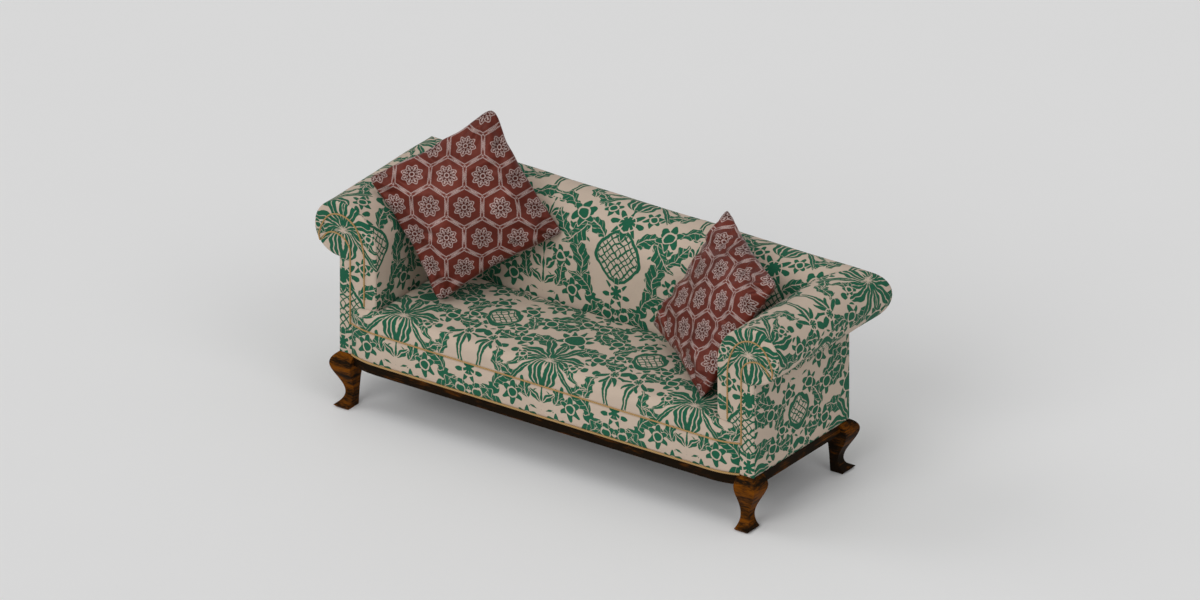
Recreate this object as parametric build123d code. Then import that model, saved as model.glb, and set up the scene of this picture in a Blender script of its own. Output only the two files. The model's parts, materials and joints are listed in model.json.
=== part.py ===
"""Scroll-arm sofa with a fixed seat, cabriole legs and two loose pillows.

Millimetres, +Z up, front towards -Y. The origin is on the floor under the middle of the sofa's box.
The left half is drawn and mirrored where the two halves are alike.
"""
import os
from math import sqrt

from build123d import *

# Main sizes, of the upholstered body without its rolls
BODY_WIDTH = 1880.0          # outside arm to outside arm
BODY_DEPTH = 626.0           # arm facing to outside back
FABRIC_BOTTOM = 214.5        # lower edge of the fabric, top of the show rail
WALL_THICKNESS = 166.0       # arms and back
ROLL_RADIUS = 112.0          # outer half of the scroll, centred on the outside face
ROLL_CENTRE_Z = FABRIC_BOTTOM + 502.0
TOE_REACH = 35.0             # front toes stand this far before the facing

# Upholstery
COVER = 3.0                  # fabric with its wadding
PANEL = 6.0                  # outside panels and facings
BACK_RAKE = 20.0             # inside back leans back by this much over its height
SEAT_WELT_Z = 346.0
SEAT_CROWN_Z = 449.0
SEAT_EDGE_Z = 434.0
SEAT_SIDE_Z = 424.0
SEAT_BACK_REACH = 436.0      # from the facing to the rear end of the seat
BORDER_BOW = 27.0            # front of the seat before the facing
BORDER_RUN = 125.0           # length over which each end rounds back
BORDER_END = 57.0            # end of the border, in from the outside of the arm
WELT_RADIUS = 3.2
GIMP_RADIUS = 3.5
PIPING_RADIUS = 3.0

# Frame timber
RAIL = 28.0
RAIL_TOP = 340.0
SHOW_RAIL_HEIGHT = 40.0
SHOW_RAIL_THICKNESS = 22.0
POST = 40.0
BOARD_WIDTH = 112.0          # arm and back top rails reach this far in from the outside
BOARD_Z = 575.0
TACK_RAIL_DEPTH = 24.0
TACK_RAIL_TOP = 375.0
LEG_BLOCK_X = 70.0
LEG_BLOCK_Y = 64.0

# Springing
SPRING_COUNT = 8
SPRING_WIRE = 2.0            # wire radius
SPRING_TURN = 12.0           # radius of a turn
SPRING_RUN = 30.0            # straight run between turns
SPRING_TURNS = 24
WEB = 2.0
STRAP = 50.0
HESSIAN = 1.5

# Pillows
PILLOW_SIDE = 535.0
PILLOW_THICKNESS = 140.0
PILLOW_SKIN = 3.0

# Derived places
HALF = BODY_WIDTH / 2
FRONT_Y = -(BODY_DEPTH + ROLL_RADIUS + TOE_REACH) / 2 + TOE_REACH
BACK_Y = FRONT_Y + BODY_DEPTH
TOP_Z = ROLL_CENTRE_Z + ROLL_RADIUS
INNER_CENTRE_Z = TOP_Z - WALL_THICKNESS
ROLL_BOTTOM_Z = ROLL_CENTRE_Z - ROLL_RADIUS
PAD_BOTTOM_Z = ROLL_BOTTOM_Z + COVER
INNER_X = HALF - WALL_THICKNESS
SLAB_OUTER = BOARD_WIDTH + WEB + HESSIAN
SPRING_Z = RAIL_TOP + 4.0
SEAT_BASE_Z = RAIL_TOP + 10.0
STRAP_Z = SEAT_BASE_Z + 3.0
SHOW_RAIL_Z = FABRIC_BOTTOM - SHOW_RAIL_HEIGHT

os.makedirs("parts", exist_ok=True)


def save(name, shape):
    """Write one node."""
    export_step(shape, f"parts/{name}.step")


def box(x0, x1, y0, y1, z0, z1):
    """A box between two corners, in the sofa's frame."""
    return Pos((x0 + x1) / 2, (y0 + y1) / 2, (z0 + z1) / 2) * Box(x1 - x0, y1 - y0, z1 - z0)


def left_box(n0, n1, d0, d1, z0, z1):
    """A box on the left side: n in from the outside arm, d back from the facing."""
    return box(-HALF + n0, -HALF + n1, FRONT_Y + d0, FRONT_Y + d1, z0, z1)


def flip_x(shape):
    return mirror(shape, about=Plane.YZ)


def flip_y(shape):
    """Mirror about the middle of the body's depth."""
    return mirror(shape, about=Plane.XZ.offset(-(FRONT_Y + BACK_Y) / 2))


def save_pair(name, shape):
    """Write a left piece and its mirror image."""
    save(f"left_{name}", shape)
    save(f"right_{name}", flip_x(shape))


def save_both(name, shapes):
    """Write left pieces and their mirror images as one group."""
    save(name, Compound(children=[*shapes, *[flip_x(shape) for shape in shapes]]))


def wall_face(place, edges):
    """A closed face from edges drawn with (n, z); place turns (n, z) into a point."""
    made = []
    for edge in edges:
        points = [place(*point) for point in edge]
        made.append(Line(*points) if len(points) == 2 else ThreePointArc(*points))
    return make_face(Curve() + made)


def arc_between(centre_z, radius, start, end):
    """Three (n, z) points on a circle whose centre is on the outside face."""
    middle_n, middle_z = (start[0] + end[0]) / 2, (start[1] + end[1]) / 2 - centre_z
    grow = radius / sqrt(middle_n ** 2 + middle_z ** 2)
    return start, (middle_n * grow, centre_z + middle_z * grow), end


def scroll_edges(inset):
    """Scroll from its underside, over the top, to the inside face."""
    outer, inner, top = ROLL_RADIUS - inset, WALL_THICKNESS - inset, TOP_Z - inset
    return [((0, ROLL_CENTRE_Z - outer), (-outer, ROLL_CENTRE_Z), (0, top)),
            arc_between(INNER_CENTRE_Z, inner, (0, top), (inner, INNER_CENTRE_Z))]


def closed(edges, *corners):
    """Edges, closed by straight lines through the corners."""
    points = [edges[-1][-1], *corners, edges[0][0]]
    return edges + list(zip(points[:-1], points[1:]))


def reversed_edges(edges):
    return [tuple(reversed(edge)) for edge in reversed(edges)]


def cover_edges(low_n, low_z):
    """Cover strip: scroll and inside face down to (low_n, low_z)."""
    outside = scroll_edges(0) + [((WALL_THICKNESS, INNER_CENTRE_Z), (low_n, low_z))]
    inside = [((low_n - COVER, low_z), (WALL_THICKNESS - COVER, INNER_CENTRE_Z))]
    inside += reversed_edges(scroll_edges(COVER))
    link = ((low_n, low_z), (low_n - COVER, low_z))
    return outside + [link] + inside + [(inside[-1][-1], outside[0][0])]


def roll_pad_edges():
    """Stuffing of the scroll: flat underneath, convex."""
    return closed(scroll_edges(COVER), (WALL_THICKNESS - COVER, PAD_BOTTOM_Z))


def scroll_board_edges(inset, low_z):
    """Whole arm section, for the facing and for the post behind it."""
    inner = WALL_THICKNESS - inset
    wall = max(inset, 0.0)
    joint_z = ROLL_CENTRE_Z - sqrt((ROLL_RADIUS - inset) ** 2 - wall ** 2)
    edges = scroll_edges(inset)
    edges[0] = ((wall, joint_z), (inset - ROLL_RADIUS, ROLL_CENTRE_Z), (0, TOP_Z - inset))
    return closed(edges, (inner, low_z), (wall, low_z))


def at_arm(d):
    return lambda n, z: (-HALF + n, FRONT_Y + d, z)


def at_back(n, z):
    return (-HALF - ROLL_RADIUS - 10, BACK_Y - n, z)


def along_arm(edges, d0, d1):
    """Run an arm section from d0 to d1 behind the facing."""
    return extrude(wall_face(at_arm(d0), edges), amount=d1 - d0, dir=(0, 1, 0))


def along_back(edges):
    """Run a back section over the whole width and past both rolls."""
    return extrude(wall_face(at_back, edges), amount=BODY_WIDTH + 2 * ROLL_RADIUS + 20, dir=(1, 0, 0))


def mitre_block():
    """Everything that belongs to the back where arms and back meet at 45 degrees."""
    out, deep = ROLL_RADIUS + 30.0, 300.0
    corners = [(-HALF - out, BACK_Y + out), (HALF + out, BACK_Y + out),
               (HALF - deep, BACK_Y - deep), (deep - HALF, BACK_Y - deep)]
    return extrude(make_face(Polyline(*corners, close=True)), amount=1000, dir=(0, 0, 1))


MITRE = mitre_block()
inner_d = PANEL + RAIL
rear_d = BODY_DEPTH - PANEL - RAIL
PAST_BACK = BODY_DEPTH + ROLL_RADIUS + 20

# Arms: cover, stuffing, panels and frame
arm_low = (WALL_THICKNESS, SEAT_BASE_Z)
save_pair("arm_cover", along_arm(cover_edges(*arm_low), PANEL, PAST_BACK) - MITRE)
save_pair("arm_roll_pad", along_arm(roll_pad_edges(), PANEL + RAIL, PAST_BACK) - MITRE)
save_pair("arm_inside_pad", left_box(SLAB_OUTER, WALL_THICKNESS - COVER, inner_d, BODY_DEPTH - SLAB_OUTER,
                                     SEAT_BASE_Z, PAD_BOTTOM_Z))
save_pair("arm_outside_panel", left_box(0, PANEL, PANEL, BODY_DEPTH - PANEL, FABRIC_BOTTOM, ROLL_BOTTOM_Z))
save_pair("arm_facing", along_arm(scroll_board_edges(0, FABRIC_BOTTOM), 0, PANEL))
save_pair("arm_front_post", along_arm(scroll_board_edges(COVER, RAIL_TOP), PANEL, PANEL + RAIL)
          - left_box(-200, PANEL, 0, 100, 0, ROLL_BOTTOM_Z))
board_top = BOARD_Z + RAIL
save_pair("arm_rail", left_box(PANEL, BOARD_WIDTH, inner_d, BODY_DEPTH - BOARD_WIDTH, BOARD_Z, board_top))
tack_n = (BOARD_WIDTH - TACK_RAIL_DEPTH, BOARD_WIDTH)
tack_rail = left_box(*tack_n, inner_d, BODY_DEPTH - BOARD_WIDTH, SEAT_BASE_Z, TACK_RAIL_TOP)
web_n = (BOARD_WIDTH, BOARD_WIDTH + WEB)
straps = [left_box(*web_n, d, d + STRAP, STRAP_Z, board_top) for d in (90, 220, 350)]
hessian = left_box(web_n[1], SLAB_OUTER, inner_d, BODY_DEPTH - SLAB_OUTER, SEAT_BASE_Z, PAD_BOTTOM_Z)
save_both("arm_tack_rails", [tack_rail])
save_both("arm_webbing", straps)
save_both("arm_hessian", [hessian])

# Back: cover, stuffing, panel and frame
back_low_n = WALL_THICKNESS + BACK_RAKE
slab_y = BACK_Y - SLAB_OUTER
below_scroll = box(-HALF, HALF, FRONT_Y, slab_y, 0, INNER_CENTRE_Z)
between_arms = box(-INNER_X, INNER_X, FRONT_Y, slab_y, SEAT_BASE_Z, INNER_CENTRE_Z)
save("back_cover", along_back(cover_edges(back_low_n, SEAT_BASE_Z)) & (MITRE - below_scroll + between_arms))
save("back_roll_pad", along_back(roll_pad_edges()) & MITRE)
back_slab = along_back([((SLAB_OUTER, SEAT_BASE_Z), (back_low_n - COVER, SEAT_BASE_Z)),
                        ((back_low_n - COVER, SEAT_BASE_Z), (WALL_THICKNESS - COVER, INNER_CENTRE_Z)),
                        ((WALL_THICKNESS - COVER, INNER_CENTRE_Z), (WALL_THICKNESS - COVER, PAD_BOTTOM_Z)),
                        ((WALL_THICKNESS - COVER, PAD_BOTTOM_Z), (SLAB_OUTER, PAD_BOTTOM_Z)),
                        ((SLAB_OUTER, PAD_BOTTOM_Z), (SLAB_OUTER, SEAT_BASE_Z))])
save("back_inside_pad", back_slab & between_arms)
save("back_outside_panel", box(-HALF, HALF, BACK_Y - PANEL, BACK_Y, FABRIC_BOTTOM, ROLL_BOTTOM_Z))
board_y = BACK_Y - BOARD_WIDTH
rear_y = BACK_Y - PANEL
save("back_top_rail", box(PANEL - HALF, HALF - PANEL, board_y, rear_y, BOARD_Z, board_top))
tack_half = HALF - BOARD_WIDTH + TACK_RAIL_DEPTH
tack_y = (board_y, board_y + TACK_RAIL_DEPTH)
save("back_tack_rail", box(-tack_half, tack_half, *tack_y, SEAT_BASE_Z, TACK_RAIL_TOP))
post_d = BODY_DEPTH - PANEL
save_both("back_posts", [left_box(PANEL, PANEL + POST, post_d - POST, post_d, RAIL_TOP, BOARD_Z)])


def across_back(places, width, y0, y1, z0, z1):
    """Like uprights or straps, one at each x."""
    return Compound(children=[box(x - width / 2, x + width / 2, y0, y1, z0, z1) for x in places])


save("back_uprights", across_back((-450, 0, 450), POST, rear_y - RAIL, rear_y, RAIL_TOP, BOARD_Z))
save("back_webbing", across_back(range(-630, 631, 180), STRAP, board_y - WEB, board_y, STRAP_Z, board_top))
save("back_hessian", box(-INNER_X, INNER_X, slab_y, board_y - WEB, SEAT_BASE_Z, PAD_BOTTOM_Z))

# Seat frame
rail_z = (FABRIC_BOTTOM, RAIL_TOP)
BLOCK = 70.0                 # legs of a corner block's triangle
BLOCK_Z = (FABRIC_BOTTOM, FABRIC_BOTTOM + 55.0)
BOLT_N, BOLT_D = 50.0, 48.0  # leg bolt, in from the outside arm and back from the facing
BOLT_RADIUS, BOLT_FIT = 4.0, 0.05
BOLT_SPAN = (FABRIC_BOTTOM - 40.0, FABRIC_BOTTOM + 45.0)
SCREW_RADIUS, SCREW_HEAD = 2.5, 4.5
SCREW_Z = FABRIC_BOTTOM + 30.0
SCREW_AT = 70.0              # along each rail, from the outside
SCREW_LENGTH = 46.0
SCREW_TIP = 16.0             # from the outside of the rail to the screw's tip


def rod(start, axis, length, radius):
    """A cylinder from a start point along an axis."""
    from_start = (Align.CENTER, Align.CENTER, Align.MIN)
    return Plane(origin=start, z_dir=axis) * Cylinder(radius, length, align=from_start)


def bolt(radius):
    start = (-HALF + BOLT_N, FRONT_Y + BOLT_D, BOLT_SPAN[0])
    return rod(start, (0, 0, 1), BOLT_SPAN[1] - BOLT_SPAN[0], radius)


def screws(grow):
    """Two screws of the front left corner block, one into each rail."""
    head = 3.0
    made = []
    for axis, start in (((1, 0, 0), (-HALF + SCREW_TIP, FRONT_Y + SCREW_AT, SCREW_Z)),
                        ((0, 1, 0), (-HALF + SCREW_AT, FRONT_Y + SCREW_TIP, SCREW_Z + 12))):
        end = tuple(s + a * SCREW_LENGTH for s, a in zip(start, axis))
        shank = rod(start, axis, SCREW_LENGTH, SCREW_RADIUS + grow)
        made.append(shank + rod(end, axis, head, SCREW_HEAD + grow))
    return made


def four_corners(*shapes):
    """Front left shapes at all four corners."""
    made = []
    for shape in shapes:
        made += [shape, flip_x(shape), flip_y(shape), flip_x(flip_y(shape))]
    return made


screw_holes = four_corners(*screws(BOLT_FIT))
front_rail = box(PANEL - HALF, HALF - PANEL, FRONT_Y + PANEL, FRONT_Y + inner_d, *rail_z)
side_rail = left_box(PANEL, inner_d, inner_d, rear_d, *rail_z)
save("front_seat_rail", front_rail - screw_holes)
save("back_seat_rail", flip_y(front_rail) - screw_holes)
save_pair("side_seat_rail", side_rail - screw_holes)
block_corners = [(-HALF + inner_d, FRONT_Y + inner_d), (-HALF + inner_d + BLOCK, FRONT_Y + inner_d),
                 (-HALF + inner_d, FRONT_Y + inner_d + BLOCK)]
block_face = make_face(Polyline(*block_corners, close=True))
block = Pos(0, 0, BLOCK_Z[0]) * extrude(block_face, amount=BLOCK_Z[1] - BLOCK_Z[0], dir=(0, 0, 1))
block = block - bolt(BOLT_RADIUS + BOLT_FIT) - screws(BOLT_FIT)
save("corner_blocks", Compound(children=four_corners(block)))
save("corner_block_screws", Compound(children=four_corners(*screws(0))))
save("leg_bolts", Compound(children=four_corners(bolt(BOLT_RADIUS))))
brace_y = (FRONT_Y + inner_d, FRONT_Y + rear_d)
save("seat_cross_braces", across_back((-300, 300), RAIL, *brace_y, FABRIC_BOTTOM, FABRIC_BOTTOM + 60))


# Legs: two sawn curves, one seen from the front and one from the side
LEG_OUTER_X = [(0, FABRIC_BOTTOM), (-24, 176), (2, 112), (25, 52), (0, 9)]
LEG_INNER_X = [(62, 0), (62, 52), (65, 112), (LEG_BLOCK_X, SHOW_RAIL_Z)]
LEG_OUTER_Y = [(0, FABRIC_BOTTOM), (-28, 174), (-6, 110), (7, 50), (-TOE_REACH, 9)]
LEG_INNER_Y = [(41, 0), (46, 50), (51, 112), (LEG_BLOCK_Y, SHOW_RAIL_Z)]
TOE_UNDERCUT = 8.0


def leg_curve(place, outer, inner, block):
    """Face of one sawn curve: outer edge down to the toe, floor, inner edge up to the block."""
    toe = (outer[-1][0] + TOE_UNDERCUT, 0)
    top = (block, FABRIC_BOTTOM)
    straight = [(outer[-1], toe), (toe, inner[0]), (inner[-1], top), (top, outer[0])]
    edges = [Spline(*[place(*point) for point in curve]) for curve in (outer, inner)]
    edges += [Line(place(*start), place(*end)) for start, end in straight]
    return make_face(Curve() + edges)


def leg():
    """Front left leg."""
    reach = 200.0
    front = leg_curve(lambda n, z: (-HALF + n, FRONT_Y - reach, z), LEG_OUTER_X, LEG_INNER_X, LEG_BLOCK_X)
    side = leg_curve(lambda d, z: (-HALF - reach, FRONT_Y + d, z), LEG_OUTER_Y, LEG_INNER_Y, LEG_BLOCK_Y)
    shape = extrude(front, amount=2 * reach, dir=(0, 1, 0)) & extrude(side, amount=2 * reach, dir=(1, 0, 0))
    return shape - bolt(BOLT_RADIUS + BOLT_FIT)


front_leg = leg()
save_pair("front_leg", front_leg)
save_pair("back_leg", flip_y(front_leg))


# Front of the seat in plan: straight, with both ends rounded back to the facings
BOW_RADIUS = (BORDER_RUN ** 2 + BORDER_BOW ** 2) / (2 * BORDER_BOW)
BOW_X = HALF - BORDER_END - BORDER_RUN


def front_curve(inset, stop=0.0, z=0.0):
    """Left arc, straight and right arc, set back by inset and ending stop before the facing plane."""
    radius = BOW_RADIUS - inset
    centre_d = BOW_RADIUS - BORDER_BOW
    end_cos = (centre_d + stop) / radius
    half_cos = sqrt((1 + end_cos) / 2)

    def on_arc(side, cosine):
        sine = sqrt(max(0.0, 1 - cosine ** 2))
        return (side * (BOW_X + radius * sine), FRONT_Y + centre_d - radius * cosine, z)

    left = [on_arc(-1, c) for c in (end_cos, half_cos, 1.0)]
    right = [on_arc(1, c) for c in (1.0, half_cos, end_cos)]
    return [ThreePointArc(*left), Line(left[-1], right[0]), ThreePointArc(*right)]


def front_plan(inset, steps, stop=0.0):
    """Closed plan behind the front curve: steps are right-hand (x, d) corners, mirrored on the left."""
    curve = front_curve(inset, stop)
    corners = [(x, FRONT_Y + d, 0) for x, d in steps]
    corners += [(-x, FRONT_Y + d, 0) for x, d in reversed(steps)]
    points = [curve[-1] @ 1, *corners, curve[0] @ 0]
    lines = [Line(a, b) for a, b in zip(points[:-1], points[1:])]
    return make_face(Curve() + curve + lines)


def upright(face, z0, z1):
    return Pos(0, 0, z0) * extrude(face, amount=z1 - z0, dir=(0, 0, 1))


gap_x = INNER_X - 0.5
border_z = (FABRIC_BOTTOM + 2 * GIMP_RADIUS + 1, SEAT_WELT_Z - WELT_RADIUS - 0.3)
save("front_border", upright(front_plan(0, [(gap_x, 0), (gap_x, PANEL)]), *border_z))


def cord(path_edges, radius):
    """A round cord along joined edges."""
    path = Wire(path_edges)
    return sweep(Plane(origin=path @ 0, z_dir=path % 0) * Circle(radius), path=path)


save("seat_welt", cord(front_curve(0, 4.0, SEAT_WELT_Z), WELT_RADIUS))
save("border_gimp", cord(front_curve(0, 4.0, FABRIC_BOTTOM + GIMP_RADIUS + 0.5), GIMP_RADIUS))

# Show rails under the fabric
leg_x = HALF - LEG_BLOCK_X
show_z = (SHOW_RAIL_Z, FABRIC_BOTTOM)
front_show = upright(front_plan(5.0, [(leg_x, 0.5), (leg_x, 20)], 0.5), *show_z)
save("front_show_rail", front_show & box(-leg_x, leg_x, -600, 0, 0, 400))
save("back_show_rail", box(-leg_x, leg_x, BACK_Y - 2 - SHOW_RAIL_THICKNESS, BACK_Y - 2, *show_z))
show_n = (2, 2 + SHOW_RAIL_THICKNESS)
save_pair("side_show_rail", left_box(*show_n, LEG_BLOCK_Y, BODY_DEPTH - LEG_BLOCK_Y, *show_z))

# Dust cover under the frame, tacked all round
DUST_Z = (FABRIC_BOTTOM - 2.0, FABRIC_BOTTOM)
dust_n, dust_d = 2 + SHOW_RAIL_THICKNESS + 1, 21.0
dust = left_box(dust_n, BODY_WIDTH - dust_n, LEG_BLOCK_Y + 1, BODY_DEPTH - LEG_BLOCK_Y - 1, *DUST_Z)
dust = dust + left_box(LEG_BLOCK_X + 1, BODY_WIDTH - LEG_BLOCK_X - 1, dust_d, BODY_DEPTH - dust_n, *DUST_Z)
save("dust_cover", dust)
tack_rows = (FRONT_Y + dust_d + 8, BACK_Y - dust_n - 8)
tack_places = [(x, y) for x in range(-800, 801, 160) for y in tack_rows]
tack_places += [(side * (HALF - dust_n - 8), y) for side in (-1, 1) for y in (-200, -80, 40, 160)]
TACK_HEAD = 1.2
tacks = [rod((x, y, DUST_Z[0] - TACK_HEAD), (0, 0, 1), TACK_HEAD, 4.0) for x, y in tack_places]
save("dust_cover_tacks", Compound(children=tacks))


# Springing: each spring is one flat wire of straight runs and half turns
def spring_wire(x):
    start_d = (BODY_DEPTH - SPRING_TURNS * 2 * SPRING_TURN) / 2
    edges = []
    for turn in range(SPRING_TURNS + 1):
        side = 1 if turn % 2 == 0 else -1
        y = FRONT_Y + start_d + turn * 2 * SPRING_TURN
        near, far = x - side * SPRING_RUN / 2, x + side * SPRING_RUN / 2
        edges.append(Line((near, y, SPRING_Z), (far, y, SPRING_Z)))
        if turn < SPRING_TURNS:
            middle = (far + side * SPRING_TURN, y + SPRING_TURN, SPRING_Z)
            edges.append(ThreePointArc((far, y, SPRING_Z), middle, (far, y + 2 * SPRING_TURN, SPRING_Z)))
    return cord(edges, SPRING_WIRE)


spring_step = 2 * (INNER_X - 75) / (SPRING_COUNT - 1)
spring_places = [75 - INNER_X + i * spring_step for i in range(SPRING_COUNT)]
save("seat_springs", Compound(children=[spring_wire(x) for x in spring_places]))
clip_d = (BODY_DEPTH - SPRING_TURNS * 2 * SPRING_TURN) / 2


def spring_clip(x, d):
    """A block on the rail with a slot for the end run of a spring."""
    slot = SPRING_WIRE + 0.3
    y = FRONT_Y + d
    body = box(x - 11, x + 11, y - 6, y + 6, RAIL_TOP, RAIL_TOP + 7.5)
    return body - box(x - 60, x + 60, y - slot, y + slot, SPRING_Z - slot, SPRING_Z + slot)


clips = [spring_clip(x, d) for x in spring_places for d in (clip_d, BODY_DEPTH - clip_d)]
save("spring_clips", Compound(children=clips))
save("seat_hessian", box(-gap_x, gap_x, FRONT_Y + 8, FRONT_Y + rear_d, SEAT_BASE_Z - WEB, SEAT_BASE_Z))


# Seat: plan, side section and front section meet in one crowned form
def seat_form(inset):
    base, front, rear = SEAT_BASE_Z, FRONT_Y - BORDER_BOW + inset, FRONT_Y + SEAT_BACK_REACH - inset
    end = HALF - BORDER_END - inset
    soft = 0.7 * inset
    between = gap_x - inset
    steps = [(between, -inset), (between, SEAT_BACK_REACH - inset)]
    plan = upright(front_plan(inset, steps, inset), base, 520)
    edge, crown, side_top = SEAT_EDGE_Z - inset, SEAT_CROWN_Z - inset, SEAT_SIDE_Z - inset
    rear_top, rear_low = edge + 4, SEAT_EDGE_Z - 24
    side_points = [((front, base), (front, base + 38)),
                   ((front, base + 38), (front + 13 + soft, base + 70 - soft), (front + 48, edge)),
                   ((front + 48, edge), (front + 245, crown), (rear - 24, rear_top)),
                   ((rear - 24, rear_top), (rear - 7 - soft, SEAT_EDGE_Z - 5 - soft), (rear, rear_low)),
                   ((rear, rear_low), (rear, base)), ((rear, base), (front, base))]
    side = extrude(wall_face(lambda y, z: (-HALF, y, z), side_points), amount=BODY_WIDTH, dir=(1, 0, 0))
    front_points = [((-end, base), (-end, base + 34)),
                    ((-end, base + 34), (-end + 13 + soft, base + 62 - soft), (-end + 48, side_top)),
                    ((-end + 48, side_top), (0, side_top + 52), (end - 48, side_top)),
                    ((end - 48, side_top), (end - 13 - soft, base + 62 - soft), (end, base + 34)),
                    ((end, base + 34), (end, base)), ((end, base), (-end, base))]
    across_face = wall_face(lambda x, z: (x, FRONT_Y - 100, z), front_points)
    return plan & side & extrude(across_face, amount=BODY_DEPTH + 100, dir=(0, 1, 0))


seat_pad = seat_form(COVER)
save("seat_pad", seat_pad)
save("seat_cover", seat_form(0) - seat_pad)


# Facing pipings: two arches that meet in a tail under the outside of the scroll
OUTER_ARCH = [(116, 400), (90, 512), (5, 566), (-60, 532), (-87, 473), (-83, 438)]
INNER_ARCH = [(53, 420), (28, 471), (-14, 487), (-65, 460), (-76, 446)]


def piping(points, low):
    """A straight run up from low, then tangent arcs through points given from the arm's lower corner."""
    y = FRONT_Y - PIPING_RADIUS - 0.1
    places = [(-HALF + n, y, FABRIC_BOTTOM + z) for n, z in points]
    edges = [Line((places[0][0], y, FABRIC_BOTTOM + low), places[0])]
    for start, end in zip(places[:-1], places[1:]):
        edges.append(TangentArc(start, end, tangent=edges[-1] % 1))
    return cord(edges, PIPING_RADIUS)


save_pair("facing_piping", Compound(children=[piping(OUTER_ARCH, 218), piping(INNER_ARCH, 128)]))


# Pillows: square, crowned, with sides that draw in between the corners
PILLOW_RINGS = [(1.0, 0.27, 0.30), (0.93, 0.49, 0.545), (0.72, 0.73, 0.77), (0.37, 0.91, 0.895),
                (0.0, 1.0, 0.94)]
PILLOW_CORNERS = [(-1, -1), (1, -1), (1, 1), (-1, 1), (-1, -1)]


def pillow_form(inset):
    """Rings from face to face: height, half side at the corners and half side at the middles."""
    rings = [(-h, c, m) for h, c, m in PILLOW_RINGS[:-1]] + PILLOW_RINGS[::-1]
    faces = []
    for height, corner_part, middle_part in rings:
        corner = corner_part * PILLOW_SIDE / 2 - inset
        middle = middle_part * PILLOW_SIDE / 2 - inset
        arcs = []
        for (ax, ay), (bx, by) in zip(PILLOW_CORNERS[:-1], PILLOW_CORNERS[1:]):
            centre = (middle * (ax + bx) / 2, middle * (ay + by) / 2)
            arcs.append(ThreePointArc((corner * ax, corner * ay), centre, (corner * bx, corner * by)))
        faces.append(Pos(0, 0, height * (PILLOW_THICKNESS / 2 - inset)) * make_face(Curve() + arcs))
    return loft(faces, ruled=True)


def pillow_place(n, d, z, turn, lean, roll):
    """Middle of a pillow, its turn to the side, its lean against the back and its roll in its own plane."""
    return Pos(-HALF + n, FRONT_Y + d, z) * Rot(0, 0, turn) * Rot(90 - lean, 0, 0) * Rot(0, 0, roll)


pillow_cover = pillow_form(0) - pillow_form(PILLOW_SKIN)
pillow_insert = pillow_form(PILLOW_SKIN + 1)
LEFT_PILLOW = pillow_place(366, 299.5, 803, 30.6, 19.5, 31)
RIGHT_PILLOW = pillow_place(1489, 308, 707, -30.2, 30.3, -8.5)
for side, place in (("left", LEFT_PILLOW), ("right", RIGHT_PILLOW)):
    save(f"{side}_pillow_cover", place * pillow_cover)
    save(f"{side}_pillow_insert", place * pillow_insert)
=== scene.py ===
"""Scroll-arm sofa: damask upholstery, gold cords, two pillows, finishes and stage over its frame.

Metres, +Z up, front towards -Y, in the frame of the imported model.
"""

import json
from math import atan2, cos, exp, pi, radians, sin, sqrt

import bpy
from mathutils import Matrix, Vector, noise


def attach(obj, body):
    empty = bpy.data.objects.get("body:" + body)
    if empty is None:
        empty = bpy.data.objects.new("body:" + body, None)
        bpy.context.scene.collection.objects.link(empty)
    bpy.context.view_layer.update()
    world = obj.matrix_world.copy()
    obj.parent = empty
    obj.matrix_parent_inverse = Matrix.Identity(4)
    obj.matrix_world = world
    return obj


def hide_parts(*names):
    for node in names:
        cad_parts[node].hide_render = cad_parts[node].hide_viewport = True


bl_info = {
    "name": "Scroll-arm sofa",
    "version": (1, 0, 0),
    "blender": (4, 5, 0),
    "location": "3D View > Sidebar > Sofa",
    "description": "Upholstery, cords, pillows and finishes of a scroll-arm sofa",
    "category": "Object",
}

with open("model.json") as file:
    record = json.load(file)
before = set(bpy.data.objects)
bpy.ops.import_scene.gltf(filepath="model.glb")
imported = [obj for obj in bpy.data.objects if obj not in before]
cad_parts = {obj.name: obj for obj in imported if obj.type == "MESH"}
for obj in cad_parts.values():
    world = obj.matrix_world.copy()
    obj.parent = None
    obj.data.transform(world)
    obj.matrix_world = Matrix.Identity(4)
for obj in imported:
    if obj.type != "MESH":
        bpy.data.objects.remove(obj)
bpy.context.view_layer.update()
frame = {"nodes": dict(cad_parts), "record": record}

# Form of the upholstered body
HALF = 0.940                 # from the middle to the outside of an arm
FRONT_Y = -0.3515            # facing plane
BACK_Y = 0.2745              # outside back
FABRIC_BOTTOM = 0.2145
WALL = 0.166                 # thickness of arms and back, and the inner radius of their scroll
ROLL = 0.112                 # outer radius of the scroll
ROLL_Z = 0.7165
TOP_Z = ROLL_Z + ROLL
INNER_Z = TOP_Z - WALL
ROLL_BOTTOM = ROLL_Z - ROLL
SEAT_BASE = 0.350
RAKE = 0.020                 # lean of the inside back over its height
EDGE_ROUND = 0.010           # of facings and outside panels
CLOTH = 0.003
SWELL_EDGE = 0.05            # covers swell fully from this far inside their edges
ARM_SWELL = 0.0024
BACK_SWELL = 0.0030
SEAT_SWELL = 0.0035
PANEL_PUFF = 0.003
PANEL_EDGE_UP = 0.03         # outside panels puff fully from this far inside their edges
PANEL_EDGE_ALONG = 0.04
PANEL_TUCK = 0.004           # their lower edge turns in by this, over this height
TUCK_RISE = 0.006
BORDER_PUFF = 0.0045
BORDER_ENDS = 0.03           # the border puffs fully from this far inside its ends
BORDER_SUNK = 0.001

# Front of the seat in plan
BOW = 0.027                  # reach before the facing plane
BOW_RUN = 0.125              # length over which each end rounds back
BOW_END = 0.057              # end of the curve, in from the outside of the arm
BOW_RADIUS = (BOW_RUN ** 2 + BOW ** 2) / (2 * BOW)
BOW_X = HALF - BOW_END - BOW_RUN

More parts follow.
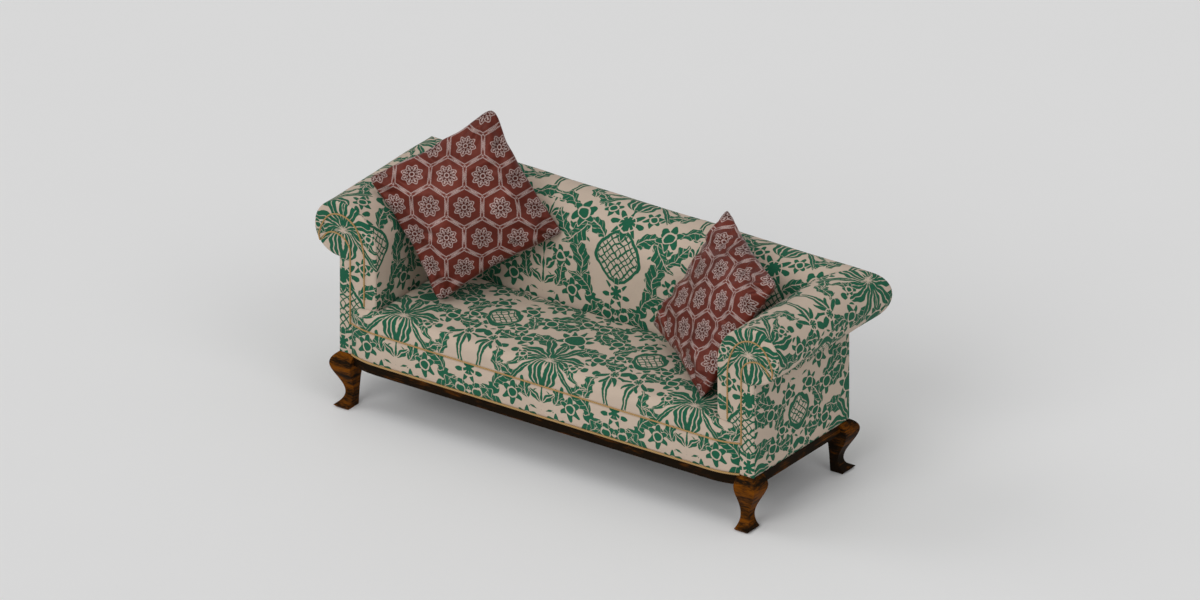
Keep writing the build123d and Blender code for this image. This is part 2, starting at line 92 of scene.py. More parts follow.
# Seat and border
SEAT_HALF = HALF - WALL - 0.0005
SEAT_REACH = 0.4402          # from the facing plane to the rear end
SEAT_WALL_TOP = 0.388        # top of the upright front
SEAT_EDGE_Z = 0.434          # top of the front edge
SEAT_RISE = 0.004            # from the front edge to the rear
SEAT_CROWN = 0.050           # four times the crown from front to rear
CROSS_TOP = 0.476            # curve from arm to arm: top, fall, and half the width over which it falls
CROSS_FALL = 0.052
CROSS_HALF = 0.835
CURVES_MEET = 0.014          # the two curves run together over this height
FRONT_ROUND = 0.048
SIDE_ROUND = 0.026
SIDE_FALL = 0.022
SIDE_START = 0.03            # the rounded sides begin over this run behind the facing plane
SIDE_SWELL_EDGE = 0.06
REAR_ROUND = 0.020
WELT_Z = 0.346
GIMP_Z = 0.2185
BORDER_LOW = 0.2215
BORDER_HIGH = 0.3435

# Where the covers start in the print, across or up
SCROLL_PRINT = 0.33
ARM_PRINT = 0.02
OUTSIDE_ARM_PRINT = 0.05
PANEL_PRINT = 0.13
SEAT_PRINT = 0.005
FACING_PRINT = (-0.02, 0.475)
BORDER_PRINT = (0.33, 0.405)


def colour_setting(name, description, default):
    return bpy.props.FloatVectorProperty(name=name, description=description, subtype="COLOR",
                                         default=default, min=0, max=1)


def length_setting(name, description, default):
    return bpy.props.FloatProperty(name=name, description=description, unit="LENGTH", default=default)


class SofaCloth(bpy.types.PropertyGroup):
    """Printed cloth of the body."""
    ground: colour_setting("Ground", "Cream ground of the cloth", (0.610, 0.490, 0.392))
    printed: colour_setting("Print", "Green of the print", (0.012, 0.112, 0.058))
    repeat_width: length_setting("Repeat width", "Width of one mirrored repeat", 0.66)
    repeat_height: length_setting("Repeat height", "Height of one repeat", 0.86)


class SofaTrim(bpy.types.PropertyGroup):
    """Twisted cords."""
    gold: colour_setting("Gold", "Gold thread", (0.42, 0.245, 0.078))
    twist: length_setting("Twist", "Length of one turn of the cord", 0.026)


class SofaPillow(bpy.types.PropertyGroup):
    """Loose pillows."""
    side: length_setting("Side", "Side from corner to corner", 0.535)
    thickness: length_setting("Thickness", "Thickness at the middle", 0.150)
    pitch: length_setting("Trellis pitch", "From rosette to rosette", 0.134)
    satin: colour_setting("Satin", "Dark red ground", (0.098, 0.0155, 0.0098))
    silver: colour_setting("Silver", "Silver grey figure", (0.40, 0.315, 0.295))


class SofaWood(bpy.types.PropertyGroup):
    """Stained show wood."""
    bright: colour_setting("Bright grain", "Orange brown of the grain", (0.168, 0.050, 0.003))
    dark: colour_setting("Dark grain", "Near black of the grain", (0.010, 0.006, 0.003))


class Wire:
    """A number that runs between shader nodes; sums written with it become Math nodes."""

    def __init__(self, net, socket):
        self.net = net
        self.socket = socket

    def math(self, kind, *others, clamp=False):
        return self.net.math(kind, self, *others, clamp=clamp)

    def __add__(self, other):
        return self.math("ADD", other)

    __radd__ = __add__

    def __sub__(self, other):
        return self.math("SUBTRACT", other)

    def __rsub__(self, other):
        return self.net.math("SUBTRACT", other, self)

    def __mul__(self, other):
        return self.math("MULTIPLY", other)

    __rmul__ = __mul__

    def __truediv__(self, other):
        return self.math("DIVIDE", other)

    def __neg__(self):
        return self.math("MULTIPLY", -1.0)

    def __abs__(self):
        return self.math("ABSOLUTE")

    def times_add(self, factor, added):
        return self.math("MULTIPLY_ADD", factor, added)

    def least(self, other):
        return self.math("MINIMUM", other)

    def most(self, other):
        return self.math("MAXIMUM", other)

    def root(self):
        return self.math("SQRT")

    def sine(self):
        return self.math("SINE")

    def cosine(self):
        return self.math("COSINE")

    def fold(self, length):
        return self.math("PINGPONG", length)

    def wrap(self, high, low=0.0):
        return self.math("WRAP", high, low)

    def inside(self, softness):
        """1 where the distance is negative, 0 outside."""
        return self.math("MULTIPLY_ADD", -0.5 / softness, 0.5, clamp=True)


class Net:
    """Nodes of one material."""

    def __init__(self, name):
        self.material = bpy.data.materials.new(name)
        self.material.use_nodes = True
        self.tree = self.material.node_tree
        self.shader = self.tree.nodes["Principled BSDF"]

    def node(self, kind, **settings):
        made = self.tree.nodes.new(kind)
        for key, value in settings.items():
            setattr(made, key, value)
        return made

    def put(self, socket, value):
        if isinstance(value, Wire):
            value = value.socket
        if isinstance(value, bpy.types.NodeSocket):
            self.tree.links.new(value, socket)
        else:
            socket.default_value = value

    def math(self, kind, *values, clamp=False):
        made = self.node("ShaderNodeMath", operation=kind, use_clamp=clamp)
        for socket, value in zip(made.inputs, values):
            self.put(socket, value)
        return Wire(self, made.outputs[0])

    def uv(self):
        parts = self.node("ShaderNodeSeparateXYZ")
        place = self.node("ShaderNodeUVMap", uv_map="cloth")
        self.put(parts.inputs[0], place.outputs[0])
        return Wire(self, parts.outputs[0]), Wire(self, parts.outputs[1])

    def vector(self, x, y, z=0.0):
        made = self.node("ShaderNodeCombineXYZ")
        for socket, value in zip(made.inputs, (x, y, z)):
            self.put(socket, value)
        return made.outputs[0]

    def object_place(self, scale=(1.0, 1.0, 1.0)):
        """Object coordinates, stretched."""
        place = self.node("ShaderNodeTexCoord")
        made = self.node("ShaderNodeMapping")
        self.put(made.inputs["Vector"], place.outputs["Object"])
        made.inputs["Scale"].default_value = scale
        return made.outputs[0]

    def noise(self, place, scale, detail=2.0, roughness=0.5, distortion=0.0, size="3D"):
        made = self.node("ShaderNodeTexNoise", noise_dimensions=size)
        self.put(made.inputs["Vector"], place)
        made.inputs["Scale"].default_value = scale
        made.inputs["Detail"].default_value = detail
        made.inputs["Roughness"].default_value = roughness
        made.inputs["Distortion"].default_value = distortion
        return Wire(self, made.outputs[0])

    def cells(self, place, scale, feature="F1", uneven=1.0, size="2D"):
        made = self.node("ShaderNodeTexVoronoi", feature=feature, voronoi_dimensions=size)
        self.put(made.inputs["Vector"], place)
        made.inputs["Scale"].default_value = scale
        made.inputs["Randomness"].default_value = uneven
        return Wire(self, made.outputs["Distance"])

    def blend(self, share, first, second):
        """Colour between two colours."""
        made = self.node("ShaderNodeMix", data_type="RGBA", clamp_factor=True)
        self.put(made.inputs[0], share)
        for socket, value in ((made.inputs[6], first), (made.inputs[7], second)):
            self.put(socket, (*value, 1.0) if isinstance(value, tuple) else value)
        return made.outputs[2]

    def finish(self, colour, roughness, bump=None, depth=0.001, **fixed):
        self.put(self.shader.inputs["Base Color"], colour)
        self.put(self.shader.inputs["Roughness"], roughness)
        for name, value in fixed.items():
            self.shader.inputs[name.replace("_", " ").title().replace("Ior", "IOR")].default_value = value
        if bump is not None:
            made = self.node("ShaderNodeBump")
            made.inputs["Distance"].default_value = depth
            self.put(made.inputs["Height"], bump)
            self.put(self.shader.inputs["Normal"], made.outputs[0])
        return self.material


# Pale lines in the print, as half their width
PALE_LINE = 0.0027           # whole width, round each figure
PETAL_LINE = 0.0008
RING_LINE = 0.0029
VEIN_LINE = 0.0017
ENGRAVED_LINE = 0.0007
MIDRIB_LINE = 0.0012
# Half the distance from line to line
ENGRAVED_STEP = 0.0125
TRELLIS_STEP = 0.0150
# Green trellis lines and frame of a cartouche, as half their width
TRELLIS_LINE = 0.0040
CARTOUCHE_FRAME = 0.0075


class Figure:
    """Distances of the printed figures, on one half of a mirrored repeat."""

    def __init__(self, across, up, repeat):
        self.across = across
        self.up = up
        self.repeat = repeat
        self.distance = None

    def above(self, y):
        """Height over y, to the nearer repeat."""
        return (self.up - y).wrap(self.repeat / 2, -self.repeat / 2)

    def add(self, shape, outer=None):
        """Lay a figure over the earlier ones, with a pale line round it."""
        if self.distance is None:
            self.distance = shape
            return
        outer = shape if outer is None else outer
        self.distance = self.distance.most(PALE_LINE - outer).least(shape)

    def polar(self, x, y, droop=0.0):
        along = self.across - x
        high = self.above(y)
        if droop:
            high = (along * along).times_add(droop, high)
        radius = (along * along).math("ADD", high * high).root()
        return radius, along.math("ARCTAN2", high)

    def flower(self, x, y, radius, petals, depth, ring=0.0, droop=0.0):
        """A lobed flower, with a pale ring inside."""
        reach, turn = self.polar(x, y, droop)
        lobes = (turn * petals).cosine().times_add(radius * depth, radius * (1 - depth))
        outer = shape = reach - lobes
        between_petals = abs((turn * (petals / 2)).cosine()) * reach * (2 / petals)
        if ring:
            between_petals = between_petals.most(ring * radius - reach)
            shape = shape.most(RING_LINE - abs(reach - ring * radius))
        self.add(shape.most(PETAL_LINE - between_petals), outer)

    def leaf(self, x, y, degrees, length, width, bend=0.0, teeth=0.0):
        """A pointed leaf with a pale vein."""
        along, high = self.across - x, self.above(y)
        c, s = cos(radians(degrees)), sin(radians(degrees))
        run = along.times_add(c, high * s)
        side = high.times_add(c, along * -s)
        square = run * run
        if bend:
            side = square.times_add(bend, side)
        side = abs(side)
        shape = square.times_add(4 * width / length ** 2, side - width)
        if teeth:
            shape = (run * (7 * pi / length)).sine().times_add(teeth, shape)
        engraved = (run - side * 0.9).fold(ENGRAVED_STEP)
        self.add(shape.most(VEIN_LINE - side).most(ENGRAVED_LINE - engraved), shape)

    def pumpkin(self, x, y, wide, high):
        """A ribbed fruit."""
        level = self.above(y) / high
        girth = (1.0 - level * level).most(0.06).root()
        meridian = abs(self.across - x) / (girth * wide)
        body = meridian * girth
        shape = (body * body + level * level).root() * high - high
        ribs = (meridian.fold(0.17) - 0.045) * wide
        self.add(shape.most(-ribs), shape)

    def fan(self, x, y, reach):
        """Drooping palm leaves round a middle."""
        half_turns = 6.5
        radius, turn = self.polar(x, y, droop=3.4)
        blades = abs((turn * half_turns).cosine()).times_add(reach * 0.78, reach * 0.22)
        outer = (radius - blades).most((turn - 2.15) * 0.05)
        midribs = abs((turn * half_turns).sine()) * radius * (1 / half_turns)
        self.add(outer.most(MIDRIB_LINE - midribs).most(0.007 - radius), outer)

    def crescent(self, x, y, radius, width):
        """A curved band, tapered to both ends, with pale dots."""
        reach, turn = self.polar(x, y)
        low = pi - abs(turn)
        off = abs(reach - radius)
        taper = (low * low).times_add(-width / 3.6, width)
        teeth = (low * 19.0).sine() * 0.006
        shape = off - taper + teeth
        dots = (off - 0.0085).most((0.35 - (low * 11.0).cosine()) * 0.014)
        self.add(shape.most(-dots), shape)

    def cartouche(self, x, y, wide, high):
        """A framed shield filled with trellis."""
        across = abs(self.across - x) / wide
        level = abs(self.up - y) / high
        shape = (across.math("POWER", 1.6) + level.math("POWER", 1.6) - 1.0) * (wide * 0.6)
        rising = (self.across + self.up).fold(TRELLIS_STEP)
        falling = (self.across - self.up).fold(TRELLIS_STEP)
        lines = rising.least(falling) - TRELLIS_LINE
        rim = abs(shape + 0.004) - CARTOUCHE_FRAME
        self.add((shape + 0.012).most(lines).least(rim), shape - 0.0035)

    def stems(self, x, high, gap, width):
        """Two curved stems with a pale middle."""
        sway = (self.up * 15.0).sine().times_add(0.016, gap)
        off = abs(abs(x - self.across) - sway)
        shape = (off - width).most(0.0032 - off)
        level = self.above(high / 2)
        self.add(shape.most(abs(level) - high / 2))

    def garland(self, x, low, high, step):
        """A column of paired leaves."""
        side = abs(x - self.across)
        place = self.up.wrap(step) - step * 0.5
        beside = side - 0.030
        run = beside * 0.75 + place * 0.66
        off = abs(place * 0.75 - beside * 0.66)
        shape = (run * run).times_add(17.0, off - 0.0155).most(0.002 - off)
        shape = shape.least(side - 0.0045)
        self.add(shape.most(low - self.up).most(self.up - high))


# Places in one half repeat. Roses: across, up, radius
ROSES = ((0.165, 0.210, 0.050), (0.225, 0.262, 0.043), (0.150, 0.350, 0.052), (0.265, 0.395, 0.047),
         (0.200, 0.478, 0.052), (0.255, 0.600, 0.044), (0.195, 0.790, 0.055), (0.090, 0.845, 0.040),
         (0.040, 0.425, 0.046), (0.115, 0.110, 0.030))
# Leaves: across, up, turn, length, width, bend
LEAVES = ((0.088, 0.235, 25, 0.150, 0.031, 3.0), (0.085, 0.350, -35, 0.135, 0.029, -3.0),
          (0.205, 0.325, 60, 0.120, 0.026, 3.0), (0.110, 0.415, 150, 0.150, 0.030, 2.0),
          (0.235, 0.200, 8, 0.110, 0.024, -3.0), (0.205, 0.060, 75, 0.120, 0.024, 3.0),
          (0.150, 0.530, 35, 0.140, 0.033, 4.0), (0.250, 0.530, 105, 0.120, 0.026, 3.0),
          (0.168, 0.625, 70, 0.170, 0.036, 3.5), (0.185, 0.705, -50, 0.150, 0.032, -3.5),
          (0.120, 0.760, 30, 0.130, 0.028, 3.0), (0.262, 0.725, 55, 0.130, 0.028, -3.0),
          (0.275, 0.835, 20, 0.130, 0.028, 3.0), (0.150, 0.020, 40, 0.110, 0.022, 3.0))
LEAF_TEETH = 0.0045
# Large flowers: across, up, radius, petals, depth of the lobes, pale ring, droop
BLOSSOMS = ((0.280, 0.150, 0.070, 7, 0.45, 0.30, 4.0), (0.0, 0.292, 0.074, 9, 0.26, 0.52, 0.0),
            (0.0, 0.520, 0.062, 7, 0.38, 0.55, 0.0), (0.0, 0.795, 0.070, 8, 0.36, 0.50, 0.0))
PRINT_EDGE = 0.0009          # softness of a printed or woven edge
WAVER = 0.026                # furthest that hand drawing shifts the print, both ways together


def shades(colour, dark, pale):
    """A dark and a pale shade of one colour, as shares of it."""
    return tuple(dark * c for c in colour), tuple(pale * c for c in colour)


def damask(cloth):
    """Cream cloth with a mirrored green print: palms, fruit, roses, garlands and trellis."""
    net = Net("printed_cloth")
    u, v = net.uv()
    flat = net.vector(u, v)
    half = cloth.repeat_width / 2
    across = u.fold(half)
    up = v.wrap(cloth.repeat_height)
    mirrored = net.vector(across, v.fold(cloth.repeat_height / 2))
    waver = net.noise(mirrored, 17.0, 1.0, size="2D") - 0.5
    shiver = net.noise(mirrored, 21.0, 1.0, size="2D") - 0.5
    across = waver.times_add(WAVER, across)
    up = shiver.times_add(WAVER, up)
    figure = Figure(across, up, cloth.repeat_height)
    sprigs = net.cells(mirrored, 19.0) * 0.052 - 0.0150
    open_ground = (net.noise(mirrored, 6.0, 1.0, size="2D") - 0.57) * -0.16
    figure.add(sprigs.most(open_ground))
    figure.stems(half, high=0.135, gap=0.036, width=0.0135)
    figure.garland(half, low=0.440, high=0.815, step=0.066)
    figure.crescent(0.0, 0.562, radius=0.140, width=0.031)
    figure.cartouche(0.0, 0.660, wide=0.100, high=0.098)
    figure.cartouche(half, 0.300, wide=0.066, high=0.070)
    for leaf in LEAVES:
        figure.leaf(*leaf, LEAF_TEETH)
    figure.fan(0.0, 0.122, reach=0.165)
    figure.pumpkin(0.0, 0.052, wide=0.066, high=0.056)
    for x, y, radius in ROSES:
        figure.flower(x, y, radius, petals=6, depth=0.22, ring=0.42)
    for blossom in BLOSSOMS:
        figure.flower(*blossom)
    ragged = (net.noise(mirrored, 90.0, 1.0, size="2D") - 0.5) * 0.0030
    mask = (figure.distance + ragged).inside(PRINT_EDGE)

    # Yarn, embossed scrolls and wear give each colour its own variation
    yarn = net.noise(net.vector(u * 900.0, v * 160.0), 1.0, 2.0, size="2D")
    cloud = net.noise(net.object_place(), 3.2, 3.0)
    tint = yarn.times_add(0.5, cloud * 0.6)
    ground = net.blend(tint, *shades(cloth.ground, 0.82, 1.10))
    green = net.blend(tint, *shades(cloth.printed, 0.72, 1.28))
    colour = net.blend(mask, ground, green)
    emboss = net.noise(flat, 14.0, 1.0, distortion=2.2, size="2D").math("SINE") * 0.8
    ribs = (net.noise(flat, 9.0, 0.0, distortion=3.0, size="2D") * 42.0).sine() * 0.35
    weave = (u * 3400.0).sine() * 0.22 + (v * 3400.0).sine() * 0.22
    height = emboss + ribs + weave + yarn * 0.5
    rough = yarn.times_add(0.16, 0.70)
    return net.finish(colour, rough, height, 0.0007, specular_ior_level=0.10, sheen_weight=0.05,
                      sheen_roughness=0.5)


# Brocade: half the widths of its lines
LATTICE_LINE = 0.0013
ROSETTE_LINE = 0.0019
INNER_LINE = 0.0018
BAR_MIDDLE = 0.0034
KNOT_LINE = 0.0042
# Lattice: its double lines from the middle of a bar, and its knots from the hexagon's corners
LATTICE_APART = 0.0060
KNOT_RADIUS = 0.006
SINE_60 = 0.866
CORNER_REACH = 0.577         # from the middle of a hexagon to a corner, as a share of the pitch
# Rosettes: radii, depth and number of their scallops
ROSETTE_OUTER = 0.0350
ROSETTE_INNER = 0.0205
ROSETTE_HEART = 0.0088
ROSETTE_DARK = 0.031         # the ground is darker up to here
SPOKE_REACH = 0.033
SPOKE_FROM = 0.0034          # spokes stand where a scallop is deeper than this
SCALLOP = 0.0050
SCALLOPS = 8


def brocade(pillow):
    """Dark red satin with a silver hexagon trellis and star rosettes, and painted sheen in broad lighter
    and darker patches.
    """
    net = Net("brocade")
    u, v = net.uv()
    pitch = pillow.pitch
    tall = pitch * sqrt(3.0)

    def nearest(shift):
        x = (v + shift * pitch / 2).wrap(pitch / 2, -pitch / 2)
        y = (u + shift * tall / 2).wrap(tall / 2, -tall / 2)
        return x, y, x * x + y * y

    x0, y0, d0 = nearest(0)
    x1, y1, d1 = nearest(1)
    pick = d0.math("LESS_THAN", d1)
    x = abs((x0 - x1).times_add(pick, x1))
    y = abs((y0 - y1).times_add(pick, y1))
    span = (x * x + y * y).root()
    turn = x.math("ARCTAN2", y)
    edge = pitch / 2 - x.most(x * 0.5 + y * SINE_60)
    corner = pitch * CORNER_REACH - span
    lines = abs(edge - LATTICE_APART) - LATTICE_LINE
    middle = edge - BAR_MIDDLE
    knots = abs(corner - KNOT_RADIUS) - KNOT_LINE
    spots = (span - pitch * 0.47).most(0.0)
    figure = lines.least(middle.most(0.0 - knots * 0.5))
    star = (turn * SCALLOPS).cosine()
    outer = abs(star.times_add(SCALLOP, ROSETTE_OUTER) - span) - ROSETTE_LINE
    inner = abs(star.times_add(-SCALLOP, ROSETTE_INNER) - span) - INNER_LINE
    spokes = (star * -SCALLOP + SPOKE_FROM).most(span - SPOKE_REACH).most(ROSETTE_INNER - span)
    heart = abs(span - ROSETTE_HEART) - ROSETTE_LINE
    figure = figure.least(outer).least(inner).least(spokes).least(heart)
    grit = (net.noise(net.vector(u, v), 420.0, 2.0, size="2D") - 0.5) * 0.0052
    mask = (figure + grit).inside(PRINT_EDGE)
    slub = net.noise(net.vector(u * 40.0, v * 700.0), 1.0, 2.0, size="2D")
    # Broad lighter and darker patches over satin and silver: painted sheen
    cloud = net.noise(net.object_place(), 7.0, 2.0)
    tint = slub.times_add(0.45, cloud.times_add(1.4, -0.45))
    dark = (span - ROSETTE_DARK).inside(0.006) * 0.80
    ground = net.blend(tint, *shades(pillow.satin, 0.58, 1.50))
    ground = net.blend(dark, ground, tuple(0.35 * c for c in pillow.satin))
    bright = net.blend(spots * 20.0 + tint * 0.7, *shades(pillow.silver, 0.74, 1.60))
    colour = net.blend(mask, ground, bright)
    weave = (u * 2600.0).sine() * 0.2 + slub * 0.8
    return net.finish(colour, mask.times_add(0.16, 0.36), weave, 0.0004, specular_ior_level=0.45,
                      specular_tint=(1.0, 0.44, 0.36, 1.0))


STRANDS = 3                  # of a cord
STRAND_GROOVE = 0.20         # depth between two strands, as a share of the cord's radius
CORD_SIDES = 14


def gold_thread(trim):
    """Twisted gold cord, with painted shade in the grooves between its strands."""
    net = Net("gold_cord")
    u, v = net.uv()
    # Darker between the strands: painted shade in the grooves
    strand = (v * (2 * pi * STRANDS)).cosine().times_add(0.5, 0.5)
    fibre = net.noise(net.vector(u * 300.0, v * 40.0), 1.0, 2.0, size="2D")
    share = fibre.times_add(0.45, strand * 0.65)
    colour = net.blend(share, *shades(trim.gold, 0.40, 1.35))
    return net.finish(colour, fibre.times_add(0.2, 0.42), fibre, 0.0004, specular_ior_level=0.45,
                      sheen_weight=0.1)


def show_wood(name, wood, stretch, darkness):
    """Dark stained wood with streaks along one direction."""
    net = Net(name)
    place = net.object_place(stretch)
    long_streaks = net.noise(place, 1.0, 5.0, roughness=0.62, distortion=0.6)
    fine = net.noise(net.object_place(tuple(5.5 * s for s in stretch)), 1.0, 3.0, roughness=0.6)
    patches = net.noise(net.object_place(), 11.0)
    share = long_streaks * 1.15 + fine * 0.55 + patches * 0.75
    ramp = net.node("ShaderNodeMapRange", interpolation_type="SMOOTHSTEP")
    net.put(ramp.inputs["Value"], share)
    ramp.inputs["From Min"].default_value = darkness
    ramp.inputs["From Max"].default_value = darkness + 0.42
    colour = net.blend(ramp.outputs[0], tuple(wood.dark), tuple(wood.bright))
    return net.finish(colour, fine.times_add(0.25, 0.34), fine, 0.0005, specular_ior_level=0.02)


def frame_wood():
    """Plain beech of the hidden frame."""
    net = Net("frame_wood")
    grain = net.noise(net.object_place((9.0, 9.0, 90.0)), 1.0, 4.0, roughness=0.6, distortion=0.4)
    flecks = net.noise(net.object_place((60.0, 60.0, 240.0)), 1.0, 2.0)
    colour = net.blend(grain * 0.8 + flecks * 0.3, (0.36, 0.22, 0.11), (0.58, 0.40, 0.23))
    return net.finish(colour, flecks.times_add(0.2, 0.5), grain, 0.0006)


def woven(name, dark, pale, pitch):
    """Plain woven cloth on flat straps and sheets."""
    net = Net(name)
    place = net.node("ShaderNodeSeparateXYZ")
    net.put(place.inputs[0], net.object_place())
    x, y, z = (Wire(net, socket) for socket in place.outputs)
    warp = ((x + z * 0.37) * (2 * pi / pitch)).sine()
    weft = ((y + z * 0.61) * (2 * pi / pitch)).sine()
    weave = (warp * weft).times_add(0.5, 0.5)
    slub = net.noise(net.object_place(), 60.0, 3.0)
    colour = net.blend(weave * 0.5 + slub * 0.6, dark, pale)
    return net.finish(colour, slub.times_add(0.15, 0.78), weave, 0.0006, specular_ior_level=0.15)


def steel():
    """Bright wire and screws with a little dulling."""
    net = Net("steel")
    dull = net.noise(net.object_place(), 85.0, 3.0)
    colour = net.blend(dull, (0.30, 0.30, 0.31), (0.56, 0.56, 0.57))
    return net.finish(colour, dull.times_add(0.3, 0.22), dull, 0.0002, metallic=1.0)


def between(start, end, count):
    """Even steps from start to end, both included."""
    return [start + (end - start) * i / (count - 1) for i in range(count)]


def swell(point, amount, rate=5.0):
    """Soft unevenness of stuffing."""
    return amount * noise.noise(Vector(point) * rate)


def new_piece(name, points, faces, marks, material):
    """A mesh object with its cloth coordinates, smooth."""
    mesh = bpy.data.meshes.new(name)
    mesh.from_pydata(points, [], faces)
    layer = mesh.uv_layers.new(name="cloth")
    for loop in mesh.loops:
        layer.data[loop.index].uv = marks[loop.vertex_index]
    mesh.polygons.foreach_set("use_smooth", [True] * len(mesh.polygons))
    mesh.materials.append(material)
    piece = bpy.data.objects.new(name, mesh)
    bpy.context.scene.collection.objects.link(piece)
    return piece


def face_out(piece, inner_point):
    """Turn all faces of a sheet away from a point inside it."""
    total = 0.0
    for polygon in piece.data.polygons:
        total += polygon.area * polygon.normal.dot(polygon.center - Vector(inner_point(polygon.center)))
    if total < 0:
        piece.data.flip_normals()


def cloth_faces(rows, columns, keep=None):
    """Quads of a grid; keep drops cells."""
    made = []
    for i in range(rows - 1):
        for j in range(columns - 1):
            if keep is None or keep(i, j):
                a = i * columns + j
                made.append((a, a + 1, a + columns + 1, a + columns))
    return made


def stand_in(piece, body, slot, *nodes):
    """Let a piece move with its body and stand for its solids."""
    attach(piece, body)
    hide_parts(*nodes)


def upholster(piece, nodes):
    """Give a cover its thickness, and let it stand for its solids."""
    wall = piece.modifiers.new("cloth", "SOLIDIFY")
    wall.thickness = CLOTH
    wall.offset = -1.0
    stand_in(piece, "sofa", "damask", *nodes)


def scroll_profile():
    """Arm section from the seat, up the inside and over the scroll: n inwards, z, length."""
    made = [(WALL, z, z - SEAT_BASE) for z in between(SEAT_BASE, INNER_Z, 22)]
    length = INNER_Z - SEAT_BASE
    for turn in between(0, pi / 2, 26)[1:]:
        made.append((WALL * cos(turn), INNER_Z + WALL * sin(turn), length + WALL * turn))
    length += WALL * pi / 2
    for turn in between(pi / 2, 3 * pi / 2, 40)[1:]:
        made.append((ROLL * cos(turn), ROLL_Z + ROLL * sin(turn), length + ROLL * (turn - pi / 2)))
    return made


def back_inset(n, z):
    """The inside back leans back below the scroll."""
    return n + (RAKE * (INNER_Z - z) / (INNER_Z - SEAT_BASE) if z < INNER_Z else 0.0)


def outward(n, z):
    """Direction out of the section."""
    if z < INNER_Z and n > 0:
        return 1.0, 0.0
    centre = INNER_Z if n > 0 else ROLL_Z
    length = sqrt(n * n + (z - centre) ** 2)
    return n / length, (z - centre) / length


def arm_cover(side, material):
    """Inside arm and scroll in one cover, up to the mitre."""
    profile = scroll_profile()
    columns = 66
    points, marks = [], []
    for n, z, length in profile:
        start, end = FRONT_Y + EDGE_ROUND, BACK_Y - back_inset(n, z)
        out_n, out_z = outward(n, z)
        for y in between(start, end, columns):
            edge = min(1.0, (y - start) / SWELL_EDGE, (end - y) / SWELL_EDGE)
            more = swell((side * n, y, z), ARM_SWELL * max(0.0, edge))
            points.append((side * (HALF - n - more * out_n), y, z + more * out_z))
            marks.append((y - FRONT_Y + ARM_PRINT, SCROLL_PRINT + length))
    name = "left" if side < 0 else "right"
    piece = new_piece(f"{name}_arm_upholstery", points, cloth_faces(len(profile), columns), marks, material)
    face_out(piece, lambda centre: (side * (HALF - WALL / 4), centre.y, min(centre.z, ROLL_Z)))
    upholster(piece, [f"{name}_{part}" for part in ("arm_cover", "arm_roll_pad", "arm_inside_pad")])


def back_cover(material):
    """Inside back and its scroll, mitred into both arms."""
    profile = scroll_profile()
    columns = 170
    points, marks = [], []
    for n, z, length in profile:
        reach = HALF - n
        deep = back_inset(n, z)
        out_n, out_z = outward(n, z)
        for x in between(-reach, reach, columns):
            edge = max(0.0, min(1.0, (reach - abs(x)) / SWELL_EDGE))
            more = swell((x, n, z), BACK_SWELL * edge)
            points.append((x, BACK_Y - deep - more * out_n, z + more * out_z))
            marks.append((x, SCROLL_PRINT + length))
    piece = new_piece("back_upholstery", points, cloth_faces(len(profile), columns), marks, material)
    face_out(piece, lambda centre: (centre.x, BACK_Y - WALL / 4, min(centre.z, ROLL_Z)))
    upholster(piece, ["back_cover", "back_roll_pad", "back_inside_pad"])


def panel_profile(length, corner_start, corner_end):
    """Along a panel with half a rounded corner at its ends: place along, depth in."""
    radius = EDGE_ROUND
    made = []
    if corner_start:
        made += [(radius - radius * sin(t), radius - radius * cos(t)) for t in between(pi / 4, 0, 5)[:-1]]
    flat_start = radius if corner_start else 0.0
    flat_end = length - radius if corner_end else length
    made += [(p, 0.0) for p in between(flat_start, flat_end, 60)]
    if corner_end:
        made += [(length - radius + radius * sin(t), radius - radius * cos(t))
                 for t in between(0, pi / 4, 5)[1:]]
    return made


def outside_panel(name, node, place, length, corners, shift, inner, material):
    """A flat outside panel, a little padded, that turns round the rear corners."""
    profile = panel_profile(length, *corners)
    levels = between(FABRIC_BOTTOM, ROLL_BOTTOM, 34)
    points, marks = [], []
    for z in levels:
        for along, deep in profile:
            rise = min(1.0, (z - FABRIC_BOTTOM) / PANEL_EDGE_UP, (ROLL_BOTTOM - z) / PANEL_EDGE_UP)
            run = min(1.0, along / PANEL_EDGE_ALONG, (length - along) / PANEL_EDGE_ALONG)
            puff = PANEL_PUFF * max(0.0, rise) * max(0.0, run)
            tuck = PANEL_TUCK * max(0.0, 1 - (z - FABRIC_BOTTOM) / TUCK_RISE) ** 2
            points.append(place(along, deep + tuck - puff, z))
            marks.append((along + shift, z - FABRIC_BOTTOM + PANEL_PRINT))
    piece = new_piece(name, points, cloth_faces(len(levels), len(profile)), marks, material)
    face_out(piece, inner)
    upholster(piece, [node])


def facing_outline():
    """Arm section as one closed line, from its lower outer corner: n, z and direction inwards."""
    made = [(0.0, z, 1.0, 0.0) for z in between(FABRIC_BOTTOM, ROLL_BOTTOM, 26)[:-1]]
    made[0] = (0.0, FABRIC_BOTTOM, 1.0, 1.0)
    made.append((0.0, ROLL_BOTTOM, 1.0, 1.0))
    for turn in between(3 * pi / 2, pi / 2, 44)[1:]:
        made.append((ROLL * cos(turn), ROLL_Z + ROLL * sin(turn), -cos(turn), -sin(turn)))
    for turn in between(pi / 2, 0, 30)[1:]:
        made.append((WALL * cos(turn), INNER_Z + WALL * sin(turn), -cos(turn), -sin(turn)))
    made += [(WALL, z, -1.0, 0.0) for z in between(INNER_Z, FABRIC_BOTTOM, 30)[1:-1]]
    made.append((WALL, FABRIC_BOTTOM, -1.0, 1.0))
    return made


